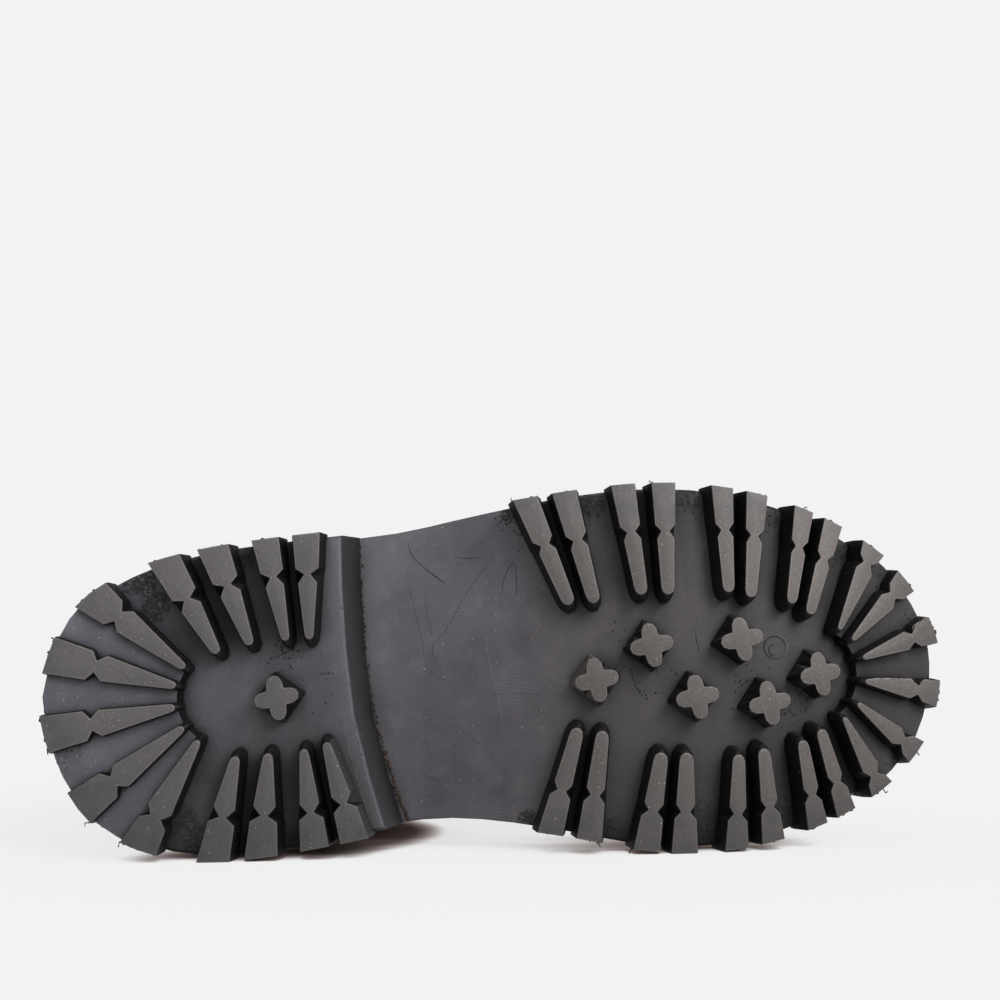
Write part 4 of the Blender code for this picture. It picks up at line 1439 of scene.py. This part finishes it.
def leatherMaterial(name, dark, brown, worn):
    looks = {"Specular_IOR_Level": 0.38, "Coat_Weight": 0.04, "Coat_Roughness": 0.4}
    material, shader, where = pieceMaterial(name, **looks)
    _, color = cloudy(material, where, (dark, brown), hide["cloud"], roughness=0.6)
    mottle = noisePattern(material, where, 7.0, roughness=0.7, high=0.8, offset=17.0)
    color = laidOver(material, color, worn, mottle, 0.35)
    # ridges of the folds are rubbed paler, their bottoms hold dark wax
    depth = addNode(material, "Attribute", attribute_name="crease").outputs["Fac"]
    for begins, full, share, tone in ((0.15, 1.3, 0.55, worn), (-0.4, -2.2, 0.7, hide["cutEdge"])):
        limits = {"Value": depth, "From Min": begins, "From Max": full, "To Max": share}
        amount = addNode(material, "MapRange", limits)
        color = addNode(material, "Mix", {"Factor": amount, "A": color, "B": tone}, data_type="RGBA")
    station, across, height, begins, full = hide["toeCap"]
    toeCap = tuple(resting(station, across, height) / mm)
    away = addNode(material, "VectorMath", {0: where, 1: toeCap}, operation="DISTANCE")
    limits = {"Value": away, "From Min": begins, "From Max": full, "To Max": 0.8}
    near = addNode(material, "MapRange", limits)
    rubbed = noisePattern(material, where, 9.0, 6.0, 0.72, 0.38, 0.72, 40.0)
    color = laidOver(material, color, hide["scuff"], near, rubbed)
    streaks = {"Vector": where, "Rotation": (0.4, 0.9, 0.2), "Scale": (1, 9, 1)}
    streaked = addNode(material, "Mapping", streaks)
    scratches = noisePattern(material, streaked, 16.0, detail=3.0, low=0.68, high=0.72)
    color = laidOver(material, color, hide["scuff"], scratches, 0.30)
    cells = {"Vector": where, "Scale": 1 / hide["pebble"]}
    pebbles = addNode(material, "TexVoronoi", cells, feature="SMOOTH_F1").outputs["Distance"]
    pores = noisePattern(material, where, hide["pore"], detail=3.0, roughness=0.7)
    grain = addNode(material, "Math", {0: pebbles, 1: -1.0, 2: 1.0}, operation="MULTIPLY_ADD")
    relief = addNode(material, "Math", {0: pores, 1: 0.35, 2: grain}, operation="MULTIPLY_ADD")
    limits = {"Value": grain, "From Min": 0.2, "From Max": 0.9, "To Min": 0.72, "To Max": 1.08}
    inputs = {"Factor": 1.0, "A": color, "B": addNode(material, "MapRange", limits)}
    color = addNode(material, "Mix", inputs, data_type="RGBA", blend_type="MULTIPLY")
    rough = addNode(material, "MapRange", {"Value": mottle, "To Min": 0.46, "To Max": 0.62})
    return surfaced(material, shader, color, rough, relief, 0.12, 0.8)


def liningMaterial():
    # Undyed lining leather: open, fibrous and darkened by wear
    looks = {"Specular_IOR_Level": 0.3, "Sheen_Weight": 0.15, "Sheen_Roughness": 0.5}
    material, shader, where = pieceMaterial("undyedLiningLeather", **looks)
    clouds, color = cloudy(material, where, hide["lining"], 26.0, roughness=0.65)
    fibres, color = grained(material, where, color, hide["liningGrain"], 4.0, 0.25)
    rough = addNode(material, "MapRange", {"Value": clouds, "To Min": 0.8, "To Max": 0.62})
    return surfaced(material, shader, color, rough, fibres, 0.08, 0.7)


def threadMaterial():
    # Waxed linen thread: twisted, satin
    material, shader, where = pieceMaterial("waxedLinenThread", Specular_IOR_Level=0.5, Sheen_Weight=0.2)
    twist, color = cloudy(material, where, hide["thread"], hide["twist"], detail=2.0)
    rough = addNode(material, "MapRange", {"Value": twist, "To Min": 0.5, "To Max": 0.65})
    setInputs(material, shader, {"Base Color": color, "Roughness": rough})
    return material


waxedLeather = leatherMaterial("waxedLeather", *hide["shaft"])
bindingLeather = leatherMaterial("waxedBindingLeather", *hide["binding"])
liningLeather = liningMaterial()
waxedThread = threadMaterial()

upperPiece = softenedUpper()
livedIn(upperPiece)
panels = {
    "vamp": (vampBorder, seams["thick"]),
    "counter": (counterBorder, seams["thick"] + 0.2),
    "backStrip": (stripBorder, seams["thick"]),
}
rows = []  # each with the thickness that its stitches lie on
for name, (border, thick) in panels.items():
    piece = panel(name, border, thick)
    finished(piece, [waxedLeather])
    for row in seams["rows"]:
        rows += [(line, thick) for line in contour(border, -row)]
    print(name, len(piece.data.polygons), "faces")
binding = panel("collarBinding", bindingBorder, seams["bindingThick"], both=True)
finished(binding, [bindingLeather])
bindingLines = contour(belowRim, seams["bindingOutside"] - seams["bindingRow"])
rows += [(line, seams["bindingThick"]) for line in bindingLines]
spots = []
for line, thick in rows:
    for spot, along, up in evenly(line, seams["pitch"]):
        spots.append((spot + up * (thick - seams["stitchSunk"]) * mm, along, up))
sewn("upperThread", spots, seams["stitch"], waxedThread)

makeActive(upperPiece)
bpy.ops.object.shade_smooth()
finished(upperPiece, [waxedLeather, liningLeather])
for face in upperPiece.data.polygons:
    face.material_index = 0 if isOuter(toBoot @ face.center, turnToBoot @ face.normal) else 1
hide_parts("upper")
print("upper is done:", len(upperPiece.data.polygons), "faces")

# Insole board with its leather cover
insoleSettings = {
    "rounding": 0.9,
    "leather": ("#7A5838", "#9A7650"),
    "cloud": 17.0,
    "print": "#3B2819",  # where heel and ball of the foot have darkened it
    "prints": ((52, -1, 34), (74, 0, 26), (205, -10, 40), (222, 14, 24), (252, 6, 16), (228, -34, 22)),
    "grain": (0.7, 0.75, "#3A2A1B", "#B8946B", 0.2),
    "smoothAngle": 40,
}


def insoleMaterial():
    # Vegetable-tanned leather: smooth and pale, polished and darkened by the foot at heel and ball, and dry
    # and open at its margin
    material, shader, where = pieceMaterial("vegetableTannedInsole", Specular_IOR_Level=0.4)
    _, color = cloudy(material, where, insoleSettings["leather"], insoleSettings["cloud"], roughness=0.65)
    worn = nearPlaces(material, where, insoleSettings["prints"])
    edge = noisePattern(material, where, 8.0, roughness=0.7, low=0.2, offset=9.0)
    uneven = addNode(material, "Math", {0: edge, 1: 0.6, 2: 0.4}, operation="MULTIPLY_ADD")
    worn = addNode(material, "Math", {0: worn, 1: uneven}, operation="MULTIPLY")
    color = laidOver(material, color, insoleSettings["print"], worn, 0.8)
    pores, color = grained(material, where, color, insoleSettings["grain"], 4.0, 0.25)
    rough = addNode(material, "Math", {0: worn, 1: -0.3, 2: 0.78}, operation="MULTIPLY_ADD")
    return surfaced(material, shader, color, rough, pores, 0.06, 0.7)


insolePiece = copyOfNode("insole", "insoleCover")
editAll(insolePiece)
bpy.ops.mesh.dissolve_limited(angle_limit=math.radians(1))
bpy.ops.object.mode_set(mode="OBJECT")
rounding = insolePiece.modifiers.new("rounding", "BEVEL")
rounding.width = insoleSettings["rounding"] * mm
rounding.segments = 3
rounding.angle_limit = math.radians(45)
bpy.ops.object.modifier_apply(modifier=rounding.name)
bpy.ops.object.shade_smooth_by_angle(angle=math.radians(insoleSettings["smoothAngle"]))
finished(insolePiece, [insoleMaterial()])
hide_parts("insole")
print("insole is done:", len(insolePiece.data.polygons), "faces")

for piece in bpy.context.scene.objects:
    if piece.type == "MESH" and piece is not floor:
        litPieces.objects.link(piece)
